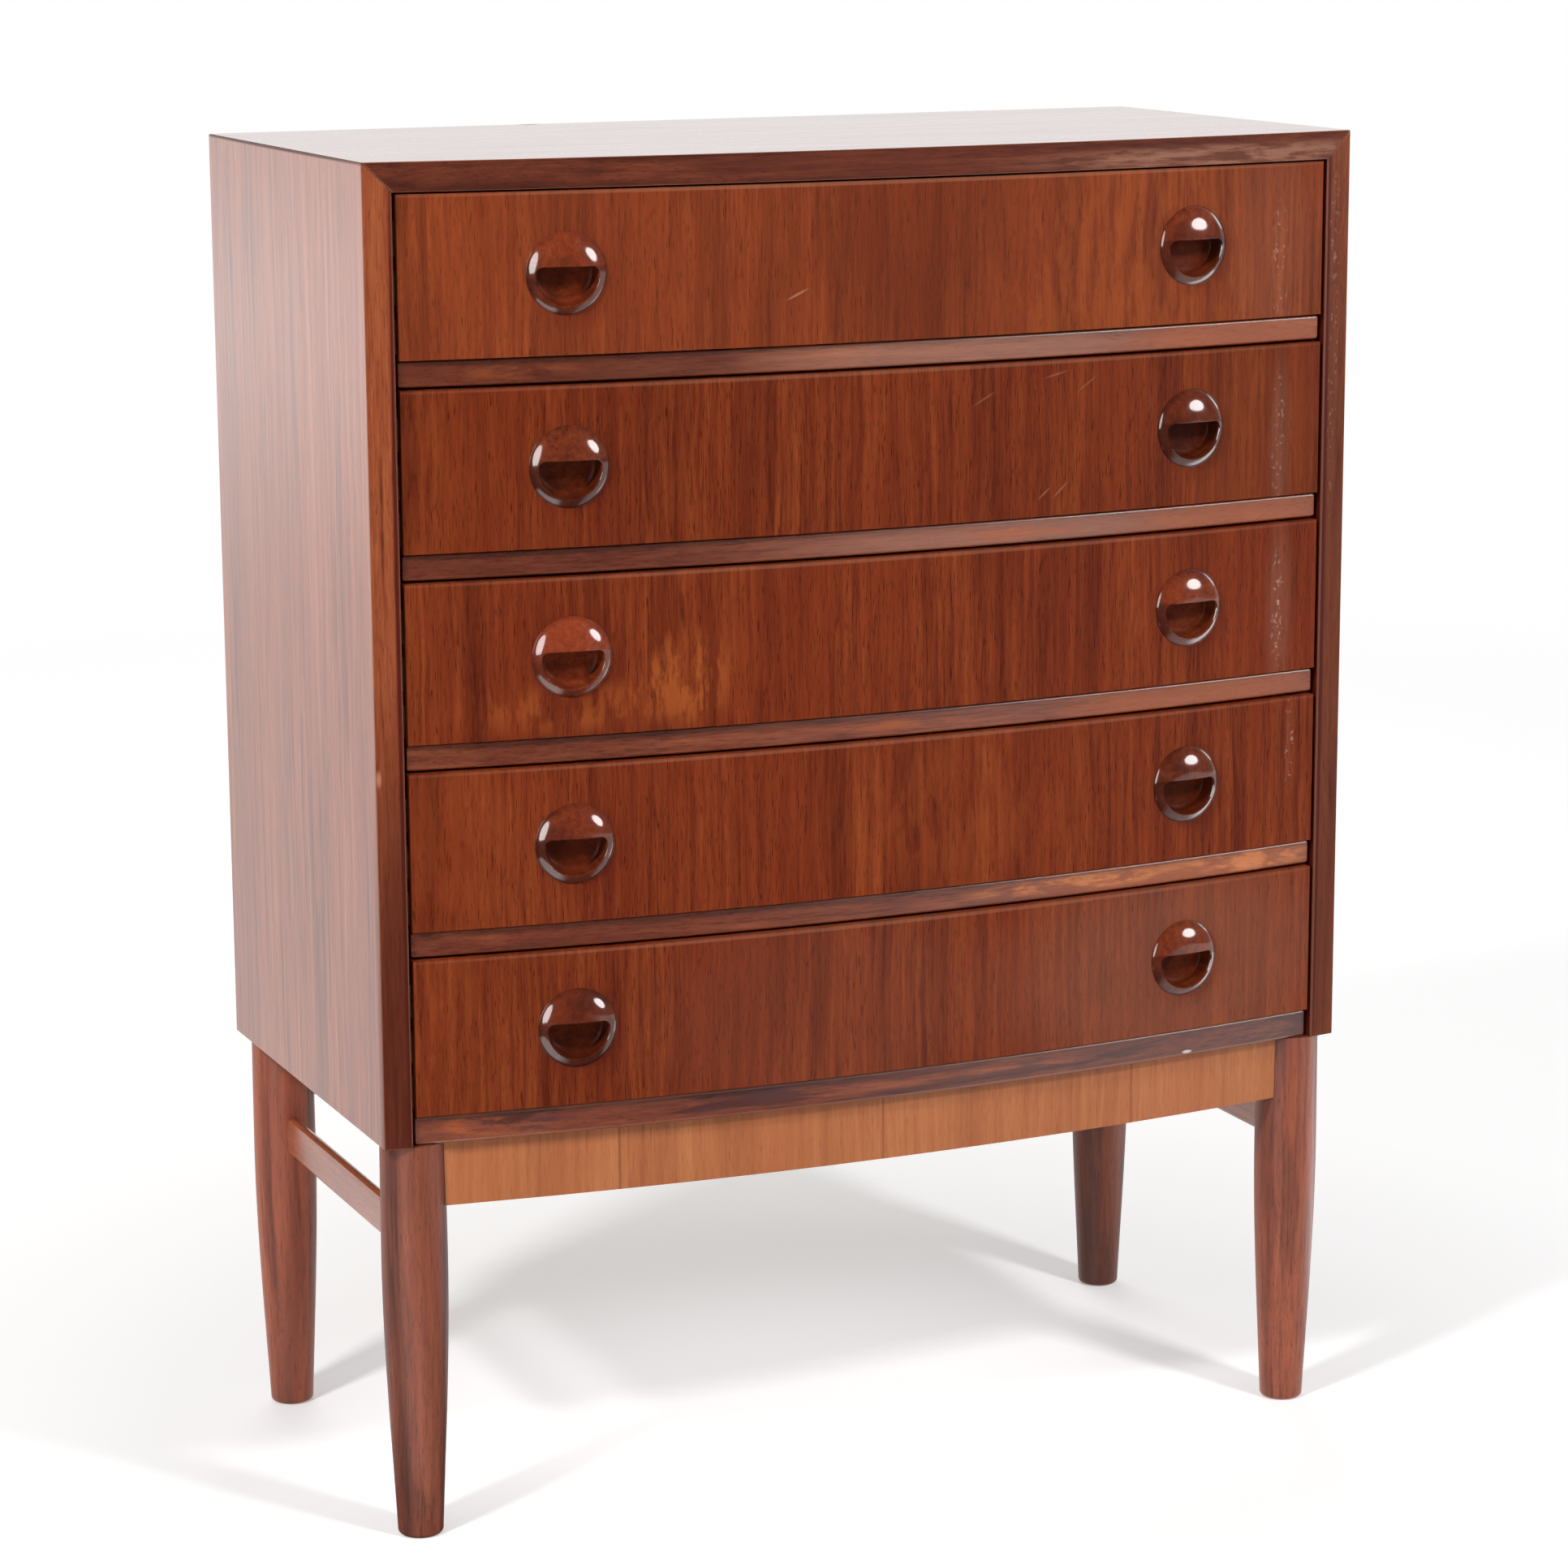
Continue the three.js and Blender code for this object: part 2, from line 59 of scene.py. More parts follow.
# The bow of the front: a circle through the side panels' front corners and the top's apex
TOP_LOW, TOP_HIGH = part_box("top_panel")
SIDE_DEPTH = 377 * MM
HALF_WIDTH = TOP_HIGH[0]
BOW_RISE = TOP_HIGH[1] - SIDE_DEPTH - TOP_LOW[1]
BOW_RADIUS = (HALF_WIDTH ** 2 + BOW_RISE ** 2) / (2 * BOW_RISE)
BOW_CENTRE_Y = TOP_LOW[1] + BOW_RADIUS
FRONT_RECESS = 1.5 * MM

# Turned pulls; heights and depths are from the drawer's front
PULL_X = 254 * MM
PULL_RADIUS = 30 * MM
PULL_CROWN = 8 * MM
# Powers that give the dome its flat middle and its steep edge
DOME_POWER = 2.6
DOME_EASE = 0.75
PULL_SPIGOT_RADIUS = 24 * MM
PULL_SPIGOT_LENGTH = 12.5 * MM
PULL_SEAT_GAP = 0.3 * MM
PULL_MOUTH_RADIUS = 22.5 * MM
MOUTH_LIP_HEIGHT = 1 * MM
MOUTH_FLARE = 3.5 * MM
MOUTH_FLARE_HEIGHT = 4 * MM
PULL_CUP_DEPTH = 10 * MM
PULL_FLOOR_RADIUS = 20 * MM
PULL_FLOOR_ROUND = 1.8 * MM
# The lid's straight edge lies this far above the pull's middle
LID_EDGE = 5 * MM
LID_HALF_SPAN = 24 * MM
LID_CORNER_ROUND = 6 * MM
LID_UNDER = 2 * MM
LID_EASE = 0.8 * MM
LID_EASE_STEPS = 3
CUTTER_OVERRUN = 5 * MM
# Angle over which an edge of a pull is rounded, and over which it then stays sharp
PULL_ROUND_ANGLE = 38
PULL_SHARP_ANGLE = 50
PULL_SIDES = 96
DOME_STEPS = 26
FLARE_STEPS = 8
CORNER_STEPS = 8

# Turned legs
LEG_SIDES = 72
LEG_ROWS = 48
LEG_RADIUS = 24.8 * MM
LEG_FOOT_ROUND = 4 * MM
FOOT_STEPS = 6
LEG_SHARP_ANGLE = 40
# The leg's outline from its foot up: share of its height, share of its radius
LEG_PROFILE_SHARES = (
    (0.0, 0.69), (0.03, 0.702), (0.165, 0.785), (0.33, 0.885),
    (0.5, 0.965), (0.65, 1.0), (0.82, 0.995), (1.0, 0.98),
)


def srgb(red, green, blue):
    """A colour given as 0 to 255 screen values, in the scene's linear values."""
    def linear(value):
        share = value / 255
        return share / 12.92 if share <= 0.04045 else ((share + 0.055) / 1.055) ** 2.4
    return (linear(red), linear(green), linear(blue), 1)


def shade(colour, factor):
    """A colour made lighter or darker by a factor."""
    return tuple(factor * value for value in colour[:3]) + (1,)


# Node helpers

class Tree:
    """A material's node tree, with short calls for the nodes used here."""

    def __init__(self, name):
        self.material = bpy.data.materials.new(name)
        self.material.use_nodes = True
        self.tree = self.material.node_tree
        self.shader = self.tree.nodes["Principled BSDF"]

    def node(self, kind, **settings):
        made = self.tree.nodes.new(kind)
        for key, value in settings.items():
            setattr(made, key, value)
        return made

    def feed(self, socket, value):
        if isinstance(value, bpy.types.NodeSocket):
            self.tree.links.new(value, socket)
        else:
            socket.default_value = value

    def math(self, operation, a, b=0.0, clamp=False):
        made = self.node("ShaderNodeMath", operation=operation, use_clamp=clamp)
        self.feed(made.inputs[0], a)
        self.feed(made.inputs[1], b)
        return made.outputs[0]

    def vector(self, operation, a, b):
        made = self.node("ShaderNodeVectorMath", operation=operation)
        self.feed(made.inputs[0], a)
        self.feed(made.inputs[1], b)
        return made.outputs[0]

    def length(self, a):
        made = self.node("ShaderNodeVectorMath", operation="LENGTH")
        self.feed(made.inputs[0], a)
        return made.outputs["Value"]

    def split(self, a):
        made = self.node("ShaderNodeSeparateXYZ")
        self.feed(made.inputs[0], a)
        return made.outputs

    def noise(self, place, scale, detail, roughness):
        made = self.node("ShaderNodeTexNoise")
        self.feed(made.inputs["Vector"], place)
        made.inputs["Scale"].default_value = scale
        made.inputs["Detail"].default_value = detail
        made.inputs["Roughness"].default_value = roughness
        return made.outputs["Fac"]

    def noise_vector(self, place, scale):
        made = self.node("ShaderNodeTexNoise")
        self.feed(made.inputs["Vector"], place)
        made.inputs["Scale"].default_value = scale
        return self.vector("SUBTRACT", made.outputs["Color"], (0.5, 0.5, 0.5))

    def spread(self, value, low, high, to_low=0.0, to_high=1.0, kind="LINEAR"):
        made = self.node("ShaderNodeMapRange", interpolation_type=kind)
        self.feed(made.inputs["Value"], value)
        ends = {"From Min": low, "From Max": high, "To Min": to_low, "To Max": to_high}
        for key, number in ends.items():
            made.inputs[key].default_value = number
        return made.outputs["Result"]

    def ramp(self, value, stops):
        made = self.node("ShaderNodeValToRGB")
        self.feed(made.inputs["Fac"], value)
        elements = made.color_ramp.elements
        while len(elements) < len(stops):
            elements.new(1.0)
        for element, (place, colour) in zip(elements, stops):
            element.position = place
            element.color = colour
        return made.outputs["Color"]

    def mix(self, share, a, b, blend="MIX"):
        made = self.node("ShaderNodeMix", data_type="RGBA", blend_type=blend)
        self.feed(made.inputs["Factor"], share)
        self.feed(made.inputs[6], a)
        self.feed(made.inputs[7], b)
        return made.outputs[2]


# Woods

AXES = {"X": 0, "Y": 1, "Z": 2}
# Patterns: how far each is drawn out along the grain, then its noise's scale, detail and roughness
BAND = (12, 30, 3, 0.5)
STREAK = (45, 190, 6, 0.62)
FIBRE = (22, 640, 3, 0.6)
PORE = (18, 1500, 1, 0.5)
PATCH = (5, 17, 2, 0.5)
FLAME = (18, 80, 4, 0.6)
TONGUE = (4.5, 95, 5, 0.66)
SPECK = (1.6, 340, 2, 0.5)
# Keeps the patches from lying where the bands lie
PATCH_SHIFT = (7, 3, 5)
# How the grain wanders: how far the bends are drawn out, their scale, and their width each way
WANDER_STRETCH = 2.5
WANDER_SCALE = 16
WANDER_WIDTH = (13 * MM, 13 * MM, 13 * MM)
# How far a seed of one moves the patterns along each axis
SEED_STEPS = (1.37, 0.71, 2.13)
# What streaks, bands and fibres add to the tone, and how far the tone goes either way at contrast 1
STREAK_SHARE = 0.5
BAND_SHARE = 0.22
FIBRE_SHARE = 0.28
TONE_REACH = 0.16
MIDDLE_TONE = 0.42
# Noise values between which patches, bands, flames and pores come in
PATCH_RANGE = (0.4, 0.62)
BAND_RANGE = (0.36, 0.5)
FLAME_RANGE = (0.5, 0.6)
PORE_RANGE = (0.6, 0.7)
PATCH_STRENGTH = 0.5
FLAME_SHADE = 0.75
PORE_SHADE = 0.5
# Noise values between which broken marks come in, and their strength where they don't
TONGUE_RANGE = (0.43, 0.57, 0.06)
SPECK_RANGE = (0.58, 0.72, 0.04)
STREAK_RANGE = (0.44, 0.56, 0.2)
# Where a soft mark starts to fade, as a share of its half size
MARK_CORE = 0.35
# Between these amounts of a normal's part, a face lies askew as an eased arris does
ASKEW = (0.25, 0.97)
# Amounts of the normal's Y part between which a face goes over from a side to a front
SIDE_RANGE = (0.5, 0.8)
# Noise values of the streaks, and how much of its side coat the wood has at each of them
SIDE_COAT_RANGE = (0.35, 0.65, 0.85, 1.0)
# Noise values of the fibres, and how far they take the roughness down and up
FIBRE_RANGE = (0.25, 0.75)
SMOOTHER = 0.04
ROUGHER = 0.06
WOOD_IOR = 1.5
BUMP_STRENGTH = 0.2


def stretch(grain, times):
    """Factors that draw a pattern out along the grain's axis."""
    return tuple(1 / times if AXES[grain] == i else 1 for i in range(3))


def look(dark, middle, warm, light, contrast=1.0, bands=0.4, flames=0.0, pores=0.5, roughness=0.36,
         specular=0.5, coat=0.0, side_coat=0.0, painted_side_light=1.0, arris_wear_and_highlight=0.0, relief=0.08 * MM,
         coat_roughness=0.2):
    """The settings of one kind of wood; the side ones are for faces turned away from front and back,
    whose colour the side tint lightens as painted light.
    """
    return {"dark": dark, "middle": middle, "warm": warm, "light": light, "contrast": contrast,
            "bands": bands, "flames": flames, "pores": pores, "roughness": roughness,
            "specular": specular, "coat": coat, "side_coat": side_coat, "painted_side_light": painted_side_light,
            "arris_wear_and_highlight": arris_wear_and_highlight, "relief": relief, "coat_roughness": coat_roughness}


def pattern(t, place, grain, settings, shift=None):
    """Noise drawn out along the grain."""
    times, scale, detail, roughness = settings
    drawn_out = t.vector("MULTIPLY", place, stretch(grain, times))
    if shift:
        drawn_out = t.vector("ADD", drawn_out, shift)
    return t.noise(drawn_out, scale, detail, roughness)


def wander(t, place, grain):
    """Places moved to and fro, so that the patterns on them aren't straight."""
    bends = t.noise_vector(t.vector("MULTIPLY", place, stretch(grain, WANDER_STRETCH)), WANDER_SCALE)
    return t.vector("ADD", place, t.vector("MULTIPLY", bends, WANDER_WIDTH))


def grain_colour(t, kind, grain, wandered, streak, fibre):
    """The wood's colour from its streaks, fibres, bands, patches and flames."""
    band = pattern(t, wandered, grain, BAND)
    patch = pattern(t, wandered, grain, PATCH, PATCH_SHIFT)
    flame = pattern(t, wandered, grain, FLAME)
    tone = t.math("ADD", t.math("MULTIPLY", streak, STREAK_SHARE), t.math("MULTIPLY", band, BAND_SHARE))
    tone = t.math("ADD", tone, t.math("MULTIPLY", fibre, FIBRE_SHARE))
    reach = TONE_REACH / kind["contrast"]
    tone = t.spread(tone, 0.5 - reach, 0.5 + reach)
    colour = t.ramp(tone, ((0.0, kind["dark"]), (MIDDLE_TONE, kind["middle"]), (1.0, kind["light"])))
    patch = t.spread(patch, *PATCH_RANGE, 0.0, PATCH_STRENGTH)
    colour = t.mix(patch, colour, t.mix(tone, kind["middle"], kind["warm"]))
    dark_band = t.spread(band, *BAND_RANGE, kind["bands"], 0.0, "SMOOTHSTEP")
    colour = t.mix(dark_band, colour, kind["dark"])
    flame = t.spread(flame, *FLAME_RANGE, 0.0, kind["flames"], "SMOOTHSTEP")
    return t.mix(flame, colour, shade(kind["dark"], FLAME_SHADE))


def spot_mask(t, place, middle, halves, tilt=0.0):
    """One inside a soft ellipsoid, nothing outside it; it is tilted in the front's plane by degrees."""
    away = t.vector("SUBTRACT", place, middle)
    if tilt:
        turn = t.node("ShaderNodeVectorRotate", rotation_type="Y_AXIS")
        t.feed(turn.inputs["Vector"], away)
        turn.inputs["Angle"].default_value = math.radians(tilt)
        away = turn.outputs["Vector"]
    away = t.vector("DIVIDE", away, halves)
    return t.spread(t.length(away), MARK_CORE, 1.0, 1.0, 0.0, "SMOOTHSTEP")


def arris_mask(t, normal):
    """One on the eased arrises, whose faces lie askew, nothing on the flat or bowed faces."""
    low, high = ASKEW
    masks = []
    for part in (normal[0], normal[2]):
        part = t.math("ABSOLUTE", part)
        over = t.math("GREATER_THAN", part, low)
        under = t.math("LESS_THAN", part, high)
        masks.append(t.math("MULTIPLY", over, under))
    return t.math("MAXIMUM", masks[0], masks[1])


def mark_breaks(t, grain, place, wandered, streak):
    """What breaks up a mark, for each manner of marks."""
    tongues = pattern(t, wandered, grain, TONGUE)
    specks = pattern(t, place, grain, SPECK)
    return {
        "smooth": 1.0,
        "tongues": t.spread(tongues, *TONGUE_RANGE, 1.0, "SMOOTHSTEP"),
        "specks": t.spread(specks, *SPECK_RANGE, 1.0),
        "streaks": t.spread(streak, *STREAK_RANGE, 1.0),
    }


def add_marks(t, colour, whole, marks, breaks):
    """The colour with its marks, and how far they leave the wood clean."""
    clean = None
    for (target, manner), strength, middle, halves, *tilt in marks:
        share = t.math("MULTIPLY", spot_mask(t, whole, middle, halves, *tilt), strength)
        share = t.math("MULTIPLY", share, breaks[manner], clamp=True)
        colour = t.mix(share, colour, target)
        kept = t.math("SUBTRACT", 1.0, share)
        clean = t.math("MULTIPLY", clean, kept) if clean else kept
    return colour, clean


def set_gloss(t, kind, streak, fibre, side, clean):
    """The gloss of the wood, with a coat that marks dull."""
    rough = kind["roughness"]
    rough = t.spread(fibre, *FIBRE_RANGE, rough - SMOOTHER, rough + ROUGHER)
    t.feed(t.shader.inputs["Roughness"], rough)
    t.shader.inputs["IOR"].default_value = WOOD_IOR
    t.shader.inputs["Specular IOR Level"].default_value = kind["specular"]
    t.shader.inputs["Coat Roughness"].default_value = kind["coat_roughness"]
    coat = kind["coat"]
    if kind["side_coat"]:
        coat = t.math("MULTIPLY", side, t.spread(streak, *SIDE_COAT_RANGE))
        coat = t.math("MULTIPLY", coat, kind["side_coat"])
    if coat and clean:
        coat = t.math("MULTIPLY", coat, clean)
    t.feed(t.shader.inputs["Coat Weight"], coat)


def set_relief(t, height, relief):
    """The fine relief of fibres and pores, as bump."""
    bump = t.node("ShaderNodeBump")
    bump.inputs["Strength"].default_value = BUMP_STRENGTH
    bump.inputs["Distance"].default_value = relief
    t.feed(bump.inputs["Height"], height)
    t.feed(t.shader.inputs["Normal"], bump.outputs["Normal"])


def wood(name, kind, grain="Z", seed=0.0, tint=1.0, marks=()):
    """Wood with its patterns along one axis, marks of another tone and pale arrises: wear, and on the
    fronts a painted highlight as well.
    """
    t = Tree(name)
    whole = t.node("ShaderNodeTexCoord").outputs["Object"]
    place = t.vector("ADD", whole, tuple(seed * step for step in SEED_STEPS))
    wandered = wander(t, place, grain)
    streak = pattern(t, wandered, grain, STREAK)
    fibre = pattern(t, place, grain, FIBRE)
    pore = t.spread(pattern(t, place, grain, PORE), *PORE_RANGE, 0.0, kind["pores"])
    colour = grain_colour(t, kind, grain, wandered, streak, fibre)
    colour = t.mix(pore, colour, shade(kind["dark"], PORE_SHADE))
    breaks = mark_breaks(t, grain, place, wandered, streak) if marks else {}
    colour, clean = add_marks(t, colour, whole, marks, breaks)
    normal = t.split(t.node("ShaderNodeNewGeometry").outputs["True Normal"])
    colour = t.mix(t.math("MULTIPLY", arris_mask(t, normal), kind["arris_wear_and_highlight"]), colour, WEAR_AND_HIGHLIGHT[0])
    # Faces turned away from front and back are painted lighter by the kind's side tint: painted light.
    side = t.spread(t.math("ABSOLUTE", normal[1]), *SIDE_RANGE, 1.0, 0.0)
    tint = t.spread(side, 0.0, 1.0, tint, tint * kind["painted_side_light"])
    t.feed(t.shader.inputs["Base Color"], t.mix(1.0, colour, tint, "MULTIPLY"))
    set_gloss(t, kind, streak, fibre, side, clean)
    set_relief(t, t.math("SUBTRACT", fibre, pore), kind["relief"])
    return t


# On the fronts, the pale arrises are partly wear and partly a painted highlight.
FRONT = look(srgb(82, 27, 14), srgb(123, 50, 24), srgb(128, 44, 20), srgb(158, 75, 35), contrast=1.1,
             bands=0.24, pores=0.75, roughness=0.38, specular=0.06, side_coat=1.0, painted_side_light=1.4,
             arris_wear_and_highlight=0.8)
SIDE = look(srgb(82, 36, 23), srgb(138, 67, 38), srgb(128, 57, 35), srgb(166, 92, 54), contrast=1.25,
            bands=0.14, specular=0.12, side_coat=1.0, painted_side_light=1.25, arris_wear_and_highlight=0.3, coat_roughness=0.28)
TOP = look(srgb(58, 24, 18), srgb(90, 40, 26), srgb(84, 33, 24), srgb(124, 62, 38), roughness=0.4,
           specular=0.3, side_coat=1.0, painted_side_light=1.4, arris_wear_and_highlight=0.35, relief=0.03 * MM)
RAIL = look(srgb(84, 34, 22), srgb(122, 56, 33), srgb(116, 46, 29), srgb(160, 88, 54), contrast=1.15,
            bands=0.25, flames=0.2, roughness=0.28, specular=0.42, coat=0.3, arris_wear_and_highlight=0.1,
            relief=0.02 * MM)
BOTTOM_RAIL = look(srgb(70, 30, 28), srgb(120, 56, 35), srgb(112, 46, 31), srgb(156, 84, 50),
                   contrast=1.2, flames=0.7, roughness=0.34, specular=0.5, coat=0.2, arris_wear_and_highlight=0.3)
LEG = look(srgb(80, 46, 38), srgb(146, 76, 53), srgb(136, 66, 46), srgb(168, 94, 64), contrast=1.15,
           flames=0.35, roughness=0.42, specular=0.3)
APRON = look(srgb(146, 78, 43), srgb(175, 103, 60), srgb(180, 98, 58), srgb(198, 126, 78), contrast=0.8,
             bands=0.2, pores=0.3, roughness=0.42, specular=0.3)
STRETCHER = look(srgb(104, 52, 34), srgb(148, 80, 50), srgb(142, 70, 46), srgb(172, 102, 66),
                 flames=0.3, roughness=0.3, side_coat=0.5, painted_side_light=1.3)
PULL = look(srgb(62, 23, 14), srgb(105, 42, 21), srgb(110, 39, 19), srgb(142, 65, 31), contrast=0.8,
            pores=0.15, roughness=0.34, specular=0.03, coat_roughness=0.09)
BOX = look(srgb(176, 138, 92), srgb(204, 168, 120), srgb(200, 158, 110), srgb(222, 190, 144),
           pores=0.2, roughness=0.55, specular=0.3)
PLY = look(srgb(170, 130, 88), srgb(196, 156, 110), srgb(192, 148, 104), srgb(214, 178, 132),
           pores=0.2, roughness=0.6, specular=0.3)

# What the colour of each drawer's front is multiplied by, from the top drawer down
FRONT_TINTS = (0.92, 0.75, 0.82, 0.84, 0.85)
# The same for the left and the right pull of each drawer
PULL_TINTS = ((1.15, 1.0), (0.88, 0.74), (1.5, 1.15), (1.0, 0.82), (0.86, 1.05))
# The same, once more, inside a pull's cup, lightened as painted light, and at its rim and on the ring
# below the lid, darkened as painted shade
CUP_LIGHT_TINT = 1.3
RIM_SHADE_TINT = 0.75
RING_SHADE_TINT = 0.62
# Heights between which a pull goes over from the cup's painted lighter tone to the face's, and from
# dull to polished
CUP_HEIGHTS = (-5 * MM, 1.5 * MM)
POLISH_HEIGHTS = (-1 * MM, 2 * MM)
# Distances from a pull's middle between which its rim darkens as painted shade
RIM_SHADE_RADII = (0.88 * PULL_RADIUS, 0.98 * PULL_RADIUS)
# Where strips of the apron's veneer meet
APRON_SEAMS = (-0.2185, -0.0055, 0.2135)

# Kinds of marks: colour, and how they are broken up
# Pale wear for scratches, nicks and arrises, and also a painted highlight on the fronts' arrises and
# upper edges
WEAR_AND_HIGHLIGHT = (srgb(178, 120, 92), "smooth")
FLECKS = (srgb(222, 190, 172), "specks")
# A painted sheen, standing in for reflected light
PAINTED_SHEEN = (srgb(176, 128, 106), "smooth")
ORANGE = (srgb(168, 84, 38), "tongues")
WARM = (srgb(160, 82, 42), "smooth")
TAWNY = (srgb(148, 90, 56), "smooth")
PALE = (srgb(204, 122, 70), "tongues")
DEEP = (srgb(72, 26, 16), "smooth")
# Painted shade beside the drawers' gaps, along the side panels' inner front edges
PAINTED_GAP_SHADE = (srgb(84, 26, 17), "smooth")
PURPLE = (srgb(84, 46, 46), "tongues")
VIOLET = (srgb(84, 46, 46), "streaks")
STREAKED = (srgb(58, 36, 33), "streaks")
LINE = (srgb(60, 34, 30), "smooth")
CHIP = (srgb(208, 192, 182), "smooth")
SHEEN = (srgb(176, 128, 106), "streaks")
DULL = (srgb(128, 116, 110), "smooth")
SEAM = (srgb(120, 58, 32), "smooth")
# A painted shadow round the pulls
PAINTED_PULL_SHADOW = (srgb(92, 26, 16), "smooth")

# The painted shadow round a pull: strength, how far it lies to the right and below, its half sizes
PULL_SHADOW_STRENGTH = 0.5
PULL_SHADOW_SHIFT = 6 * MM
PULL_SHADOW_HALVES = (40 * MM, 60 * MM, 42 * MM)
# The painted highlight along a front's upper edge: strength, how far under the edge, its half sizes
EDGE_HIGHLIGHT = 0.3
EDGE_DROP = 1.6 * MM
EDGE_HALVES = (550 * MM, 100 * MM, 2 * MM)

# Marks: kind, strength, middle, half sizes and, on some, a tilt in degrees
# On the fronts, the haze marks are a painted sheen.
FRONT_MARKS = {
    1: (
        (TAWNY, 0.12, (0.0, -0.2, 0.95), (0.9, 0.3, 0.3)),
        (ORANGE, 0.1, (-0.325, -0.18, 0.96), (0.05, 0.1, 0.16)),
        (DEEP, 0.3, (0.02, -0.2, 0.95), (0.1, 0.1, 0.12)),
        (ORANGE, 0.35, (0.2, -0.19, 0.93), (0.16, 0.1, 0.14)),
        (PAINTED_SHEEN, 0.08, (0.33, -0.18, 0.94), (0.06, 0.1, 0.12)),
        (FLECKS, 0.35, (0.335, -0.18, 0.93), (0.01, 0.1, 0.06)),
        (WEAR_AND_HIGHLIGHT, 0.7, (-0.0788, -0.2, 0.9244), (0.012, 0.1, 0.0012), 25),
    ),
    2: (
        (ORANGE, 0.15, (-0.35, -0.18, 0.8), (0.04, 0.1, 0.16)),
        (WARM, 0.2, (0.32, -0.18, 0.79), (0.1, 0.1, 0.14)),
        (PAINTED_SHEEN, 0.14, (0.338, -0.18, 0.79), (0.014, 0.1, 0.09)),
        (FLECKS, 0.5, (0.336, -0.18, 0.79), (0.008, 0.1, 0.07)),
        (WEAR_AND_HIGHLIGHT, 0.35, (0.0723, -0.2, 0.84), (0.014, 0.1, 0.001), 28),
        (WEAR_AND_HIGHLIGHT, 0.35, (0.134, -0.2, 0.8552), (0.014, 0.1, 0.0011), 13),
        (WEAR_AND_HIGHLIGHT, 0.3, (0.1606, -0.2, 0.8466), (0.015, 0.1, 0.001), 34),
        (WEAR_AND_HIGHLIGHT, 0.5, (0.1242, -0.2, 0.7659), (0.0085, 0.1, 0.001), 38),
        (WEAR_AND_HIGHLIGHT, 0.5, (0.1379, -0.2, 0.7675), (0.011, 0.1, 0.001), 42),
    ),
    3: (
        (ORANGE, 1.0, (-0.168, -0.2, 0.648), (0.05, 0.1, 0.045)),
        (ORANGE, 0.6, (-0.25, -0.19, 0.63), (0.12, 0.1, 0.025)),
        (DEEP, 0.5, (-0.17, -0.2, 0.698), (0.003, 0.1, 0.022), 8),
        (DEEP, 0.4, (-0.186, -0.2, 0.665), (0.006, 0.1, 0.02), 12),
        (PAINTED_SHEEN, 0.16, (0.34, -0.18, 0.66), (0.018, 0.1, 0.1)),
        (FLECKS, 0.6, (0.338, -0.18, 0.66), (0.008, 0.1, 0.06)),
    ),
    4: (
        (ORANGE, 0.2, (-0.34, -0.18, 0.53), (0.06, 0.1, 0.1)),
        (ORANGE, 0.25, (0.05, -0.2, 0.53), (0.14, 0.1, 0.09)),
        (FLECKS, 0.45, (0.352, -0.18, 0.55), (0.006, 0.1, 0.05)),
    ),
    5: (
        (ORANGE, 0.25, (-0.345, -0.18, 0.39), (0.045, 0.1, 0.09)),
        (DEEP, 0.12, (-0.28, -0.19, 0.39), (0.14, 0.1, 0.12)),
        (PAINTED_SHEEN, 0.08, (-0.05, -0.19, 0.38), (0.2, 0.1, 0.12)),
        (DEEP, 0.12, (-0.1, -0.2, 0.4), (0.07, 0.1, 0.08)),
        (PAINTED_SHEEN, 0.2, (0.25, -0.19, 0.38), (0.22, 0.1, 0.12)),
    ),
}
# On the rails, the haze marks are a painted sheen.
RAIL_MARKS = {
    1: (
        (DEEP, 0.65, (-0.24, -0.19, 0.876), (0.22, 0.04, 0.03)),
        (PAINTED_SHEEN, 0.35, (0.06, -0.2, 0.876), (0.22, 0.04, 0.03)),
        (ORANGE, 0.35, (-0.29, -0.18, 0.876), (0.07, 0.02, 0.008)),
        (WARM, 0.7, (0.3, -0.18, 0.877), (0.14, 0.04, 0.03)),
    ),
    2: (
        (DEEP, 0.4, (-0.25, -0.19, 0.737), (0.2, 0.04, 0.03)),
        (PAINTED_SHEEN, 0.3, (0.1, -0.2, 0.737), (0.25, 0.04, 0.03)),
        (ORANGE, 0.5, (0.1, -0.19, 0.737), (0.08, 0.03, 0.006)),
        (WARM, 0.7, (0.3, -0.18, 0.738), (0.14, 0.04, 0.03)),
    ),
    3: (
        (DEEP, 0.3, (-0.28, -0.19, 0.598), (0.16, 0.04, 0.03)),
        (ORANGE, 0.5, (0.0, -0.2, 0.598), (0.08, 0.03, 0.006)),
        (WARM, 0.7, (0.26, -0.18, 0.599), (0.18, 0.04, 0.03)),
    ),
    4: (
        (WARM, 0.7, (0.26, -0.18, 0.46), (0.2, 0.04, 0.03)),
        (PALE, 0.9, (0.16, -0.19, 0.46), (0.13, 0.03, 0.008)),
        (PALE, 1.0, (0.31, -0.18, 0.46), (0.1, 0.04, 0.012)),
    ),
}
BOTTOM_MARKS = (
    (ORANGE, 1.0, (-0.33, -0.18, 0.32), (0.035, 0.03, 0.012)),
    (PURPLE, 1.0, (-0.285, -0.185, 0.318), (0.04, 0.03, 0.007)),
    (PURPLE, 0.9, (-0.1, -0.195, 0.322), (0.03, 0.03, 0.007)),
    (PURPLE, 0.8, (-0.16, -0.195, 0.315), (0.03, 0.03, 0.004)),
    (LINE, 1.5, (0.261, -0.19, 0.3115), (0.0075, 0.03, 0.0032)),
    (CHIP, 1.2, (0.261, -0.19, 0.3115), (0.006, 0.03, 0.0019)),
)
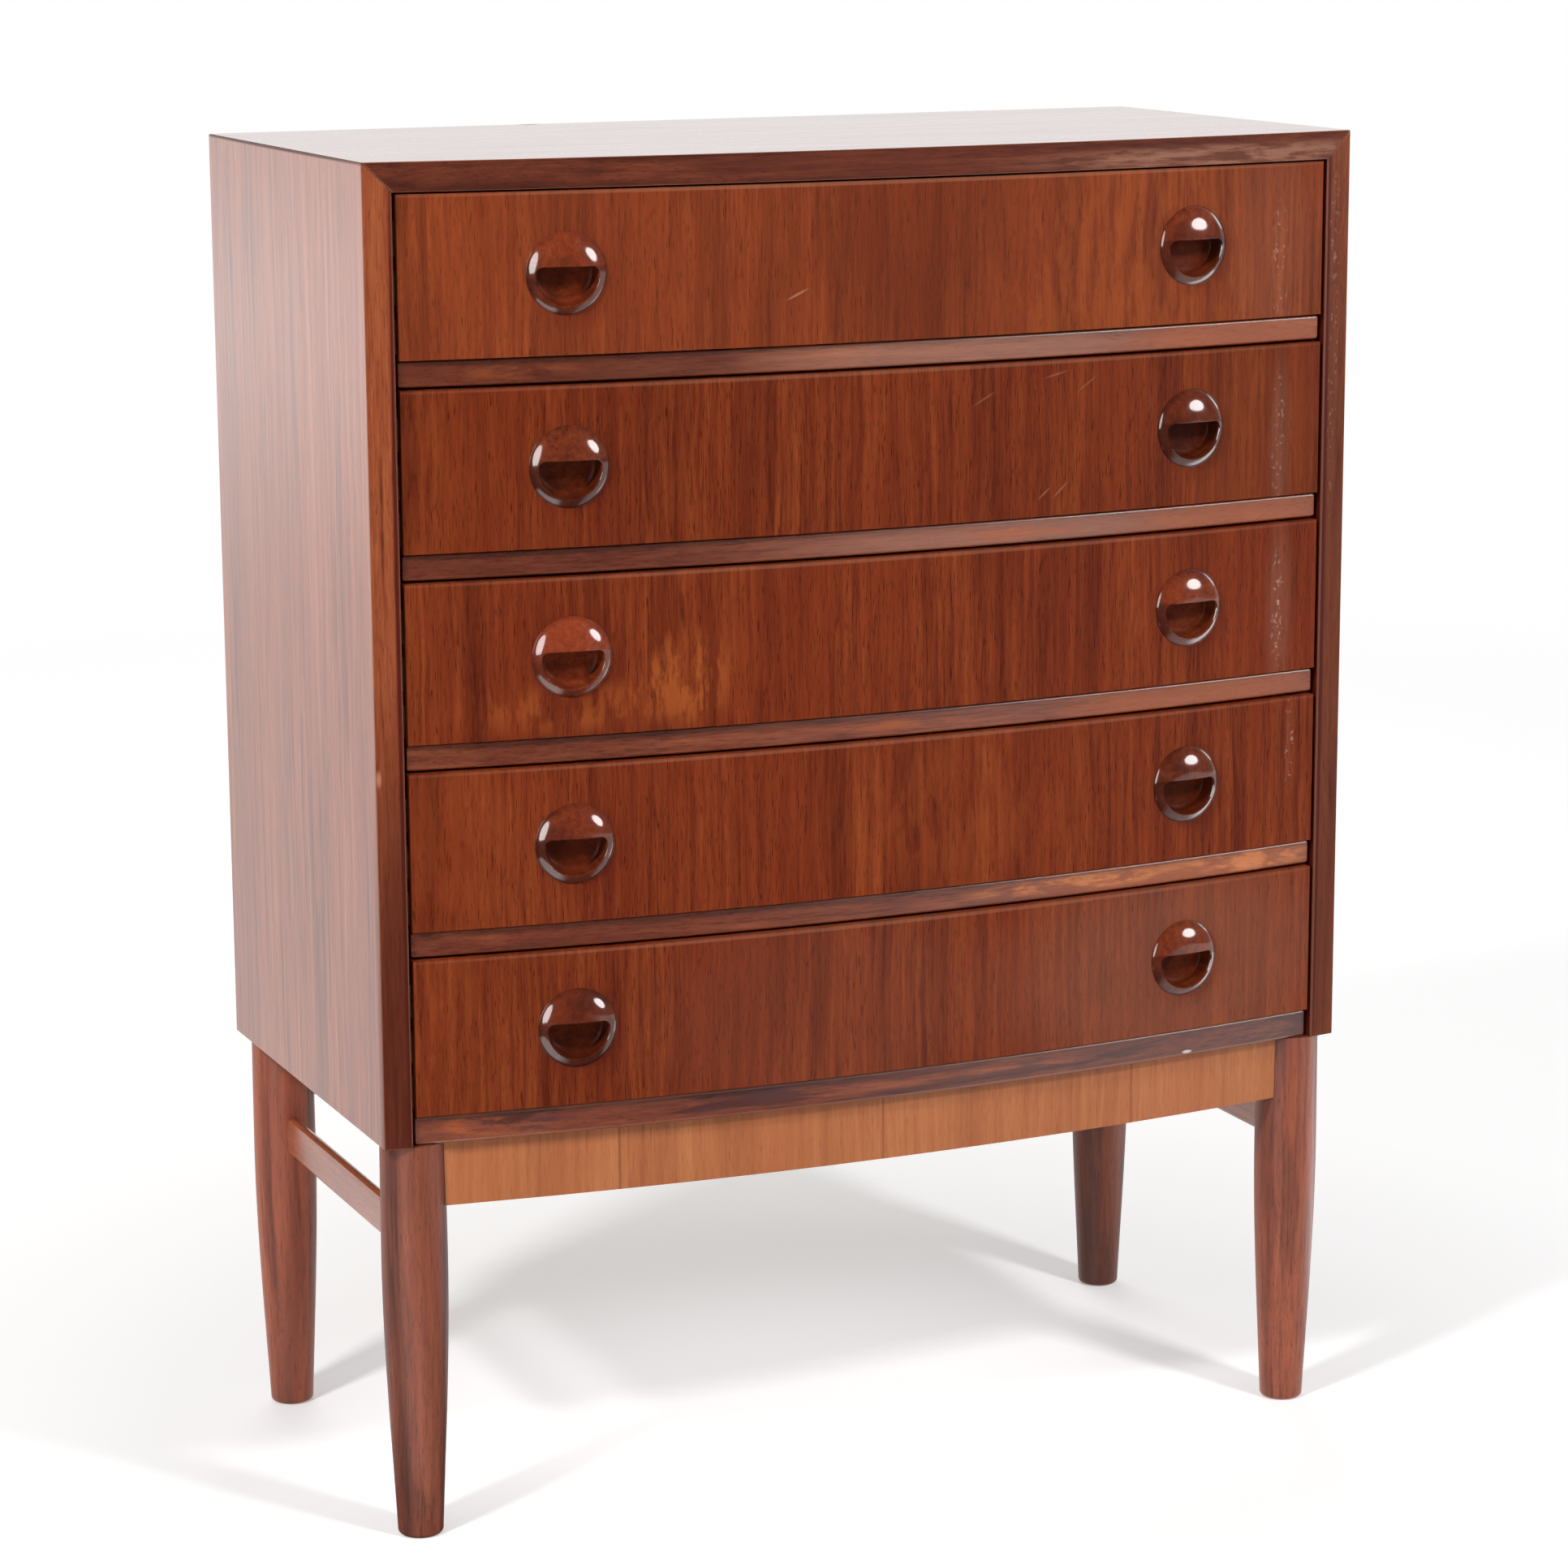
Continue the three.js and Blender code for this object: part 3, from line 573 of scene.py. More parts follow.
TOP_MARKS = (
    (DULL, 1.0, (-0.137, 0.2, 1.028), (0.012, 0.01, 0.006)),
    (SHEEN, 0.5, (0.3, -0.19, 1.013), (0.25, 0.05, 0.012)),
)
# On each side panel, the dark edge mark along the inner front edge is painted shade beside the gaps.
LEFT_MARKS = (
    (PAINTED_GAP_SHADE, 1.5, (-0.379, -0.174, 0.67), (0.0055, 0.02, 0.6)),
    (DEEP, 0.75, (-0.389, -0.178, 0.36), (0.03, 0.02, 0.34)),
    (WEAR_AND_HIGHLIGHT, 0.9, (-0.398, -0.1735, 0.586), (0.003, 0.002, 0.009)),
    (LINE, 1.0, (-0.4, 0.016, 1.0275), (0.01, 0.4, 0.0028)),
)
# On the right side panel, the deep mark down the front edge is painted shade.
RIGHT_MARKS = (
    (FLECKS, 0.45, (0.386, -0.174, 0.88), (0.008, 0.02, 0.2)),
    (DEEP, 0.5, (0.389, -0.178, 0.6), (0.03, 0.02, 0.7)),
    (PAINTED_GAP_SHADE, 1.5, (0.379, -0.174, 0.67), (0.0055, 0.02, 0.6)),
)
APRON_MARKS = tuple((SEAM, 0.5, (x, -0.17, 0.28), (0.0018, 0.05, 0.09)) for x in APRON_SEAMS)
# Marks on the legs; their places are from the middle of the foot
FRONT_LEFT_LEG_MARKS = (
    (STREAKED, 0.7, (-0.0207, -0.0122, 0.25), (0.011, 0.011, 0.13)),
    (STREAKED, 0.7, (-0.0155, -0.017, 0.14), (0.01, 0.01, 0.1)),
    (STREAKED, 0.75, (-0.0147, -0.0128, 0.06), (0.009, 0.009, 0.08)),
    (VIOLET, 0.9, (0.0165, -0.0145, 0.16), (0.009, 0.009, 0.3)),
)
FRONT_RIGHT_LEG_MARKS = ((VIOLET, 0.8, (0.0165, -0.0145, 0.16), (0.009, 0.009, 0.3)),)
# On the back left leg, the streaked dark band down its right front is painted shade.
BACK_LEFT_LEG_MARKS = ((STREAKED, 1.1, (0.0155, -0.0155, 0.2), (0.009, 0.009, 0.2)),)

# Legs: node, what its colour is multiplied by, marks; the back right leg's low number darkens it as
# painted shade
LEGS = (
    ("front_left_leg", 0.86, FRONT_LEFT_LEG_MARKS),
    ("front_right_leg", 1.1, FRONT_RIGHT_LEG_MARKS),
    ("back_left_leg", 1.35, BACK_LEFT_LEG_MARKS),
    ("back_right_leg", 0.62, ()),
)


# Meshes

def piece_from(name, verts, faces):
    mesh = bpy.data.meshes.new(name)
    mesh.from_pydata(verts, [], faces)
    mesh.validate()
    made = bpy.data.objects.new(name, mesh)
    bpy.context.collection.objects.link(made)
    return made


def revolve(name, profile, sides):
    """A closed solid round Z from (radius, height) points that start and end on the axis."""
    verts = [(0, 0, profile[0][1])]
    for radius, height in profile[1:-1]:
        for i in range(sides):
            angle = 2 * math.pi * i / sides
            verts.append((radius * math.cos(angle), radius * math.sin(angle), height))
    verts.append((0, 0, profile[-1][1]))
    rings = len(profile) - 2
    faces = [(0, 1 + (i + 1) % sides, 1 + i) for i in range(sides)]
    for ring in range(rings - 1):
        low = 1 + ring * sides
        high = low + sides
        for i in range(sides):
            j = (i + 1) % sides
            faces.append((low + i, low + j, high + j, high + i))
    top = 1 + (rings - 1) * sides
    faces += [(top + i, top + (i + 1) % sides, len(verts) - 1) for i in range(sides)]
    return piece_from(name, verts, faces)


def prism(name, outline, low, high):
    """A closed solid along Z over an outline that runs anticlockwise."""
    count = len(outline)
    verts = [(x, y, low) for x, y in outline] + [(x, y, high) for x, y in outline]
    faces = [tuple(reversed(range(count))), tuple(range(count, 2 * count))]
    faces += [(i, (i + 1) % count, count + (i + 1) % count, count + i) for i in range(count)]
    return piece_from(name, verts, faces)


def smooth_by_angle(obj, degrees):
    """Shades an object's mesh smooth, but for the edges sharper than an angle."""
    for polygon in obj.data.polygons:
        polygon.use_smooth = True
    obj.data.set_sharp_from_angle(angle=math.radians(degrees))


def keep_modifiers(obj):
    """Turns the object's modifiers into its mesh."""
    graph = bpy.context.evaluated_depsgraph_get()
    mesh = bpy.data.meshes.new_from_object(obj.evaluated_get(graph))
    obj.modifiers.clear()
    obj.data = mesh


def cut(obj, cutter):
    """Takes one solid out of another and drops the cutter."""
    modifier = obj.modifiers.new("cut", "BOOLEAN")
    modifier.operation = "DIFFERENCE"
    modifier.solver = "EXACT"
    modifier.object = cutter
    keep_modifiers(obj)
    bpy.data.objects.remove(cutter)


def smooth_shade_group():
    """Geometry nodes that shade a mesh smooth."""
    group = bpy.data.node_groups.new("shade_smooth", "GeometryNodeTree")
    group.interface.new_socket("Geometry", in_out="INPUT", socket_type="NodeSocketGeometry")
    group.interface.new_socket("Geometry", in_out="OUTPUT", socket_type="NodeSocketGeometry")
    start = group.nodes.new("NodeGroupInput")
    smooth = group.nodes.new("GeometryNodeSetShadeSmooth")
    end = group.nodes.new("NodeGroupOutput")
    group.links.new(start.outputs[0], smooth.inputs["Geometry"])
    group.links.new(smooth.outputs["Geometry"], end.inputs[0])
    return group


SHADE_SMOOTH = smooth_shade_group()


# Easing of the boards: how near points are welded, the least angle of an arris, its steps and how
# much the large faces lead the shading
WELD_REACH = 0.01 * MM
ARRIS_ANGLE = 25
ARRIS_STEPS = 2
FACE_WEIGHT = 80
# Widths of the eased arrises
THIN_ARRIS = 0.3 * MM
PLAIN_ARRIS = 0.6 * MM
FRONT_ARRIS = 0.9 * MM
APRON_ARRIS = 0.5 * MM
BOX_ARRIS = 0.4 * MM
BOX_BOTTOM_ARRIS = 0.2 * MM


def ease(obj, width):
    """Rounds the arrises of a CAD board and shades its bow smooth."""
    weld = obj.modifiers.new("weld", "WELD")
    weld.merge_threshold = WELD_REACH
    obj.modifiers.new("shade", "NODES").node_group = SHADE_SMOOTH
    bevel = obj.modifiers.new("arris", "BEVEL")
    bevel.width = width
    bevel.segments = ARRIS_STEPS
    bevel.limit_method = "ANGLE"
    bevel.angle_limit = math.radians(ARRIS_ANGLE)
    bevel.use_clamp_overlap = True
    bevel.miter_outer = "MITER_ARC"
    weighted = obj.modifiers.new("weighted", "WEIGHTED_NORMAL")
    weighted.weight = FACE_WEIGHT


def dress(node, tree, width=PLAIN_ARRIS):
    """Gives a CAD node its wood and eased arrises."""
    obj = NODES[node]
    obj.data.materials.clear()
    obj.data.materials.append(tree.material)
    ease(obj, width)


# Pulls

def dome_height(radius):
    return PULL_CROWN * (1 - (radius / PULL_RADIUS) ** DOME_POWER) ** DOME_EASE


def dome_profile():
    """The domed face from its edge to its middle, with closer points near the steep edge."""
    points = []
    for i in range(1, DOME_STEPS + 1):
        radius = PULL_RADIUS * math.cos(math.pi / 2 * i / DOME_STEPS) if i < DOME_STEPS else 0
        points.append((radius, dome_height(radius)))
    return [point for point in points if point[1] > PULL_SEAT_GAP]


def flare_profile():
    """The rounded inner edge of the mouth."""
    points = []
    for i in range(FLARE_STEPS + 1):
        angle = math.pi / 2 * i / FLARE_STEPS
        points.append((PULL_MOUTH_RADIUS + MOUTH_FLARE * (1 - math.cos(angle)),
                       MOUTH_LIP_HEIGHT + MOUTH_FLARE_HEIGHT * math.sin(angle)))
    return points


def lid_outline():
    """The upper half of a pull, its straight lower edge rounded down at both ends."""
    corner_x = LID_HALF_SPAN - LID_CORNER_ROUND
    corner_y = LID_EDGE - LID_CORNER_ROUND
    points = []
    for side, start in ((-1, math.pi), (1, math.pi / 2)):
        for i in range(CORNER_STEPS + 1):
            angle = start - math.pi / 2 * i / CORNER_STEPS
            points.append((side * corner_x + LID_CORNER_ROUND * math.cos(angle),
                           corner_y + LID_CORNER_ROUND * math.sin(angle)))
    far = PULL_RADIUS + CUTTER_OVERRUN
    return points + [(far, corner_y), (far, far), (-far, far), (-far, corner_y)]


def pull_mesh():
    """One pull round Z, its lid over the +Y half: a turned dome with a cup cut under the lid."""
    button = revolve("pull_button", [
        (0, -PULL_SPIGOT_LENGTH), (PULL_SPIGOT_RADIUS, -PULL_SPIGOT_LENGTH),
        (PULL_SPIGOT_RADIUS, PULL_SEAT_GAP), (PULL_RADIUS, PULL_SEAT_GAP), *dome_profile(),
    ], PULL_SIDES)
    open_top = PULL_CROWN + CUTTER_OVERRUN
    round_third = PULL_FLOOR_ROUND / 3
    cup = revolve("pull_cup", [
        (0, -PULL_CUP_DEPTH), (PULL_FLOOR_RADIUS - PULL_FLOOR_ROUND, -PULL_CUP_DEPTH),
        (PULL_FLOOR_RADIUS + round_third, round_third - PULL_CUP_DEPTH),
        (PULL_FLOOR_RADIUS + PULL_FLOOR_ROUND, PULL_FLOOR_ROUND - PULL_CUP_DEPTH),
        *flare_profile(), (PULL_MOUTH_RADIUS + MOUTH_FLARE, open_top), (0, open_top),
    ], PULL_SIDES)
    cut(cup, prism("pull_lid", lid_outline(), LID_UNDER, open_top + CUTTER_OVERRUN))
    cut(button, cup)
    rounded = button.modifiers.new("round", "BEVEL")
    rounded.width = LID_EASE
    rounded.segments = LID_EASE_STEPS
    rounded.limit_method = "ANGLE"
    rounded.angle_limit = math.radians(PULL_ROUND_ANGLE)
    keep_modifiers(button)
    smooth_by_angle(button, PULL_SHARP_ANGLE)
    mesh = button.data
    bpy.data.objects.remove(button)
    return mesh


def pull_wood(name, seed, tint):
    """Wood polished on its face: darker on its rim and its ring as painted shade, lighter inside the
    cup as painted light, and dull there.
    """
    t = wood(name, PULL, "Z", seed, tint)
    colour_socket = t.shader.inputs["Base Color"]
    colour = colour_socket.links[0].from_socket
    place = t.node("ShaderNodeTexCoord").outputs["Object"]
    parts = t.split(place)
    away = t.length(t.vector("MULTIPLY", place, (1, 1, 0)))
    cup = t.spread(parts[2], *CUP_HEIGHTS, CUP_LIGHT_TINT, 1.0, "SMOOTHSTEP")
    rim = t.spread(away, *RIM_SHADE_RADII, 1.0, RIM_SHADE_TINT)
    ring = t.spread(parts[1], LID_EDGE - MM, LID_EDGE + MM, RING_SHADE_TINT, 1.0)
    tone = t.math("MULTIPLY", cup, t.math("MULTIPLY", rim, ring))
    t.feed(colour_socket, t.mix(1.0, colour, tone, "MULTIPLY"))
    t.feed(t.shader.inputs["Coat Weight"], t.spread(parts[2], *POLISH_HEIGHTS, kind="SMOOTHSTEP"))
    return t


def add_pull(row, side, mesh, tree):
    """A pull that stands square on the bow, at the height of its CAD node's middle."""
    word = "left" if side < 0 else "right"
    node = f"drawer_{row}_{word}_pull"
    made = bpy.data.objects.new(f"{node}_turned", mesh)
    bpy.context.collection.objects.link(made)
    lean = side * math.asin(PULL_X / (BOW_RADIUS - FRONT_RECESS))
    outward = Vector((math.sin(lean), -math.cos(lean), 0))
    across = Vector((math.cos(lean), math.sin(lean), 0))
    low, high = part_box(node)
    seat_y = BOW_CENTRE_Y - math.sqrt((BOW_RADIUS - FRONT_RECESS) ** 2 - PULL_X ** 2)
    place = Vector((side * PULL_X, seat_y, (low[2] + high[2]) / 2))
    turn = Matrix((across, Vector((0, 0, 1)), outward)).transposed().to_4x4()
    made.matrix_world = Matrix.Translation(place) @ turn
    made.data.materials.clear()
    made.data.materials.append(tree.material)
    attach(made, f"drawer_{row}")
    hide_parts(node)


# Legs

def leg_radius(height_share):
    """The leg's radius at a share of its height, smoothed between the profile's shares."""
    points = LEG_PROFILE_SHARES
    last = len(points) - 1
    i = next(k for k in range(last) if height_share <= points[k + 1][0])
    z0, r0 = points[max(i - 1, 0)]
    z1, r1 = points[i]
    z2, r2 = points[i + 1]
    z3, r3 = points[min(i + 2, last)]
    slope1 = (r2 - r0) / (z2 - z0)
    slope2 = (r3 - r1) / (z3 - z1)
    width = z2 - z1
    t = (height_share - z1) / width
    hermite = ((2 * t ** 3 - 3 * t ** 2 + 1) * r1 + (t ** 3 - 2 * t ** 2 + t) * width * slope1
               + (3 * t ** 2 - 2 * t ** 3) * r2 + (t ** 3 - t ** 2) * width * slope2)
    return LEG_RADIUS * hermite


def add_leg(node, tree):
    """A turned leg with a rounded foot, in the place of its CAD node."""
    low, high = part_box(node)
    height = high[2] - low[2]
    foot = leg_radius(LEG_FOOT_ROUND / height)
    profile = [(0, 0)]
    for i in range(FOOT_STEPS + 1):
        angle = math.pi / 2 * i / FOOT_STEPS
        inwards = LEG_FOOT_ROUND * (1 - math.sin(angle))
        profile.append((foot - inwards, LEG_FOOT_ROUND * (1 - math.cos(angle))))
    for i in range(1, LEG_ROWS + 1):
        z = LEG_FOOT_ROUND + (height - LEG_FOOT_ROUND) * i / LEG_ROWS
        profile.append((leg_radius(z / height), z))
    profile.append((0, height))
    made = revolve(f"{node}_turned", profile, LEG_SIDES)
    smooth_by_angle(made, LEG_SHARP_ANGLE)
    made.location = ((low[0] + high[0]) / 2, (low[1] + high[1]) / 2, low[2])
    made.data.materials.append(tree.material)
    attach(made, "carcass")
    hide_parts(node)


# The chest

def build_case():
    dress("left_side_panel", wood("left_side", SIDE, "Z", seed=1.3, marks=LEFT_MARKS))
    dress("right_side_panel", wood("right_side", SIDE, "Z", seed=2.9, tint=0.8, marks=RIGHT_MARKS))
    dress("top_panel", wood("top", TOP, "X", seed=4.1, marks=TOP_MARKS))
    dress("bottom_panel", wood("bottom", BOTTOM_RAIL, "X", seed=5.3, marks=BOTTOM_MARKS))
    dress("back_panel", wood("back_ply", PLY, "Z", seed=6.1), THIN_ARRIS)
    for i in range(1, RAILS + 1):
        rail = wood(f"rail_{i}", RAIL, "X", seed=7.7 + 1.9 * i, marks=RAIL_MARKS[i])
        dress(f"divider_rail_{i}", rail, THIN_ARRIS)
        runner = wood(f"runners_{i}", BOX, "Y", seed=20 + i)
        for word in ("left", "right"):
            dress(f"{word}_runner_{i}", runner)


def painted_pull_shadows(row):
    """Marks that paint the shadow round a drawer's pulls."""
    low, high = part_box(f"drawer_{row}_left_pull")
    middle_z = (low[2] + high[2]) / 2
    middles = [(side * PULL_X + PULL_SHADOW_SHIFT, low[1], middle_z - PULL_SHADOW_SHIFT) for side in (-1, 1)]
    return tuple((PAINTED_PULL_SHADOW, PULL_SHADOW_STRENGTH, middle, PULL_SHADOW_HALVES) for middle in middles)


def painted_edge_highlight(row):
    """The mark of the painted highlight along the upper edge of a drawer's front."""
    low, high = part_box(f"drawer_{row}_front")
    return ((WEAR_AND_HIGHLIGHT, EDGE_HIGHLIGHT, (0, low[1], high[2] - EDGE_DROP), EDGE_HALVES),)


def build_drawers():
    mesh = pull_mesh()
    for i in range(1, DRAWERS + 1):
        # Each front's marks take in a painted shadow round its pulls and a painted highlight along its
        # upper edge.
        marks = FRONT_MARKS[i] + painted_pull_shadows(i) + painted_edge_highlight(i)
        tint = FRONT_TINTS[i - 1]
        front = wood(f"drawer_front_{i}", FRONT, "Z", seed=30 + 2.3 * i, tint=tint, marks=marks)
        dress(f"drawer_{i}_front", front, FRONT_ARRIS)
        dress(f"drawer_{i}_left_side", wood(f"box_left_{i}", BOX, "Y", seed=41 + i), BOX_ARRIS)
        dress(f"drawer_{i}_right_side", wood(f"box_right_{i}", BOX, "Y", seed=51 + i), BOX_ARRIS)
        dress(f"drawer_{i}_back", wood(f"box_back_{i}", BOX, "X", seed=61 + i), BOX_ARRIS)
        dress(f"drawer_{i}_bottom", wood(f"box_bottom_{i}", PLY, "X", seed=71 + i), BOX_BOTTOM_ARRIS)
        for side, tint in zip((-1, 1), PULL_TINTS[i - 1]):
            polished = pull_wood(f"pull_{i}_{side + 1}", seed=80 + 3.1 * i + side, tint=tint)
            add_pull(i, side, mesh.copy(), polished)


def build_base():
    for number, (node, tint, marks) in enumerate(LEGS):
        add_leg(node, wood(node, LEG, "Z", seed=91 + 1.7 * number, tint=tint, marks=marks))
    dress("front_apron", wood("front_apron", APRON, "Z", seed=101, marks=APRON_MARKS), APRON_ARRIS)
    dress("back_apron", wood("back_apron", APRON, "Z", seed=103), APRON_ARRIS)
    for number, word in enumerate(("left", "right")):
        stretcher = wood(f"{word}_stretcher", STRETCHER, "Y", seed=105 + number)
        dress(f"{word}_stretcher", stretcher, THIN_ARRIS)


# Stage

# How bright the studio is in reflections: behind the chest, and in front from its left to its right
BEHIND = 1.2
FRONT_DARK = 0.1
FRONT_BRIGHT = 0.14
# Parts of a direction between which the studio goes over to its right side, and to behind
RIGHT_RANGE = (0.15, 0.55)
BEHIND_RANGE = (-0.3, 0.25)
# Bright strips of the floor that reflections show: low corner, high corner, brightness
GLEAMS = (
    ((0.6, -0.5), (2.2, 0.1), 3.5),
    ((-1.1, -0.75), (-0.25, -0.2), 3),
)
# Where a strip starts to fade, as a share of its half size
GLEAM_CORE = 0.7

FLOOR_HALF = 12
FLOOR_COLOUR = 0.85
# How much the floor is brightened near the chest and farther off, and more under its middle
FLOOR_TOP_UP = (0.26, 0.385)
FLOOR_TOP_UP_REACH = (0.45, 0.95)
UNDER_TOP_UP = 0.25
UNDER_HALVES = (0.55, 0.42, 1.0)
UNDER_REACH = (0.2, 1.0)
# How bright reflections show the floor at its right, and behind, from near to far
FLOOR_FRONT_BRIGHT = 1.3
FLOOR_BEHIND = (1.05, 1.95)
FLOOR_BEHIND_REACH = (4.4, 9.0)
# Distances between which the floor fades to the white background
FADE_REACH = (1.6, 4.2)
WORLD_LEVEL = 0.3


def studio_brightness(t, direction, bright, rear):
    """Brightness of the studio in a direction, as reflections show it."""
    parts = t.split(direction)
    front = t.spread(parts[0], *RIGHT_RANGE, FRONT_DARK, bright, "SMOOTHSTEP")
    behind = t.spread(parts[1], *BEHIND_RANGE, kind="SMOOTHSTEP")
    return t.math("ADD", t.math("MULTIPLY", behind, t.math("SUBTRACT", rear, front)), front)


def gleam(t, place):
    """Brightness of the strips on the floor."""
    parts = t.split(place)
    total = 0.0
    for low, high, strength in GLEAMS:
        inside = strength
        for axis in (0, 1):
            middle = (low[axis] + high[axis]) / 2
            half = (high[axis] - low[axis]) / 2
            away = t.math("ABSOLUTE", t.math("SUBTRACT", parts[axis], middle))
            inside = t.math("MULTIPLY", t.spread(away, GLEAM_CORE * half, half, 1.0, 0.0), inside)
        total = t.math("ADD", total, inside)
    return total


def emission(t, strength):
    made = t.node("ShaderNodeEmission")
    t.feed(made.inputs["Strength"], strength)
    return made.outputs[0]


def mix_shaders(t, share, a, b):
    made = t.node("ShaderNodeMixShader")
    for socket, value in zip(made.inputs, (share, a, b)):
        t.feed(socket, value)
    return made.outputs[0]


def mirrored_ray(t, rays):
    """One for the rays by which gloss or glass shows a thing, nothing for the others."""
    return t.math("MAXIMUM", rays["Is Glossy Ray"], rays["Is Transmission Ray"])


def floor_seen(t, diffuse, place, away):
    """The floor as the camera sees it: its shadows near the chest, white farther off."""
    under = t.length(t.vector("DIVIDE", place, UNDER_HALVES))
    under = t.spread(under, *UNDER_REACH, UNDER_TOP_UP, 0.0, "SMOOTHSTEP")
    around = t.spread(away, *FLOOR_TOP_UP_REACH, *FLOOR_TOP_UP)
    lit = t.node("ShaderNodeAddShader")
    t.feed(lit.inputs[0], diffuse)
    t.feed(lit.inputs[1], emission(t, t.math("ADD", under, around)))
    far = t.spread(away, *FADE_REACH, kind="SMOOTHSTEP")
    return mix_shaders(t, far, lit.outputs[0], emission(t, 1.0))


def floor_mirrored(t, place, away):
    """The floor as reflections show it."""
    direction = t.node("ShaderNodeVectorMath", operation="NORMALIZE")
    t.feed(direction.inputs[0], place)
    rear = t.spread(away, *FLOOR_BEHIND_REACH, *FLOOR_BEHIND)
    brightness = studio_brightness(t, direction.outputs[0], FLOOR_FRONT_BRIGHT, rear)
    return emission(t, t.math("ADD", brightness, gleam(t, place)))


def floor_tree():
    t = Tree("floor")
    t.tree.nodes.remove(t.shader)
    diffuse = t.node("ShaderNodeBsdfDiffuse")
    diffuse.inputs["Color"].default_value = (FLOOR_COLOUR, FLOOR_COLOUR, FLOOR_COLOUR, 1)
    place = t.node("ShaderNodeTexCoord").outputs["Object"]
    away = t.length(place)
    rays = t.node("ShaderNodeLightPath").outputs
    mirrored = floor_mirrored(t, place, away)
    shown = mix_shaders(t, mirrored_ray(t, rays), diffuse.outputs[0], mirrored)
    seen = floor_seen(t, diffuse.outputs[0], place, away)
    shown = mix_shaders(t, rays["Is Camera Ray"], shown, seen)
    t.feed(t.tree.nodes["Material Output"].inputs["Surface"], shown)
    return t


def build_floor():
    """A pale floor that fades to the white background."""
    half = FLOOR_HALF
    corners = [(-half, -half, 0), (half, -half, 0), (half, half, 0), (-half, half, 0)]
    made = piece_from("floor", corners, [(0, 1, 2, 3)])
    made.data.materials.append(floor_tree().material)


class WorldTree(Tree):
    """The world's node tree, with the same short calls."""

    def __init__(self, name):
        self.world = bpy.data.worlds.new(name)
        self.world.use_nodes = True
        self.tree = self.world.node_tree
        self.tree.nodes.clear()


def background(t, strength):
    made = t.node("ShaderNodeBackground")
    made.inputs["Color"].default_value = (1, 1, 1, 1)
    t.feed(made.inputs["Strength"], strength)
    return made.outputs[0]


def build_world():
    """White where the camera looks, an even dim light, and a studio that reflections show."""
    t = WorldTree("studio")
    bpy.context.scene.world = t.world
    rays = t.node("ShaderNodeLightPath").outputs
    direction = t.node("ShaderNodeTexCoord").outputs["Generated"]
    mirrored = studio_brightness(t, direction, FRONT_BRIGHT, BEHIND)
    shown = mix_shaders(t, mirrored_ray(t, rays), background(t, WORLD_LEVEL), background(t, mirrored))
    shown = mix_shaders(t, rays["Is Camera Ray"], shown, background(t, 1.0))
    out = t.node("ShaderNodeOutputWorld")
    t.feed(out.inputs["Surface"], shown)


# Softboxes: name, place, width, height, power in watts
SOFTBOXES = (
    ("left_softbox", (-2.75, -1.6, 3.0), 0.45, 0.5, 84),
    ("right_softbox", (1.25, -2.8, 3.0), 0.45, 0.5, 70),
    ("back_softbox", (0.6, 3.2, 2.6), 2.4, 1.4, 40),
)
# Far windows that only gloss shows: name, direction, half width and half height as shares of their
# distance, brightness
WINDOWS = (
    ("left_window", (-0.76, -0.60, 0.22), 0.25, 0.34, 13),
    ("right_window", (0.66, -0.70, 0.30), 0.18, 0.16, 19),
    ("side_window", (0.95, 0.10, 0.32), 0.16, 0.18, 5),
)
WINDOW_DISTANCE = 20
LAMP_TARGET = (0, 0, 0.5)


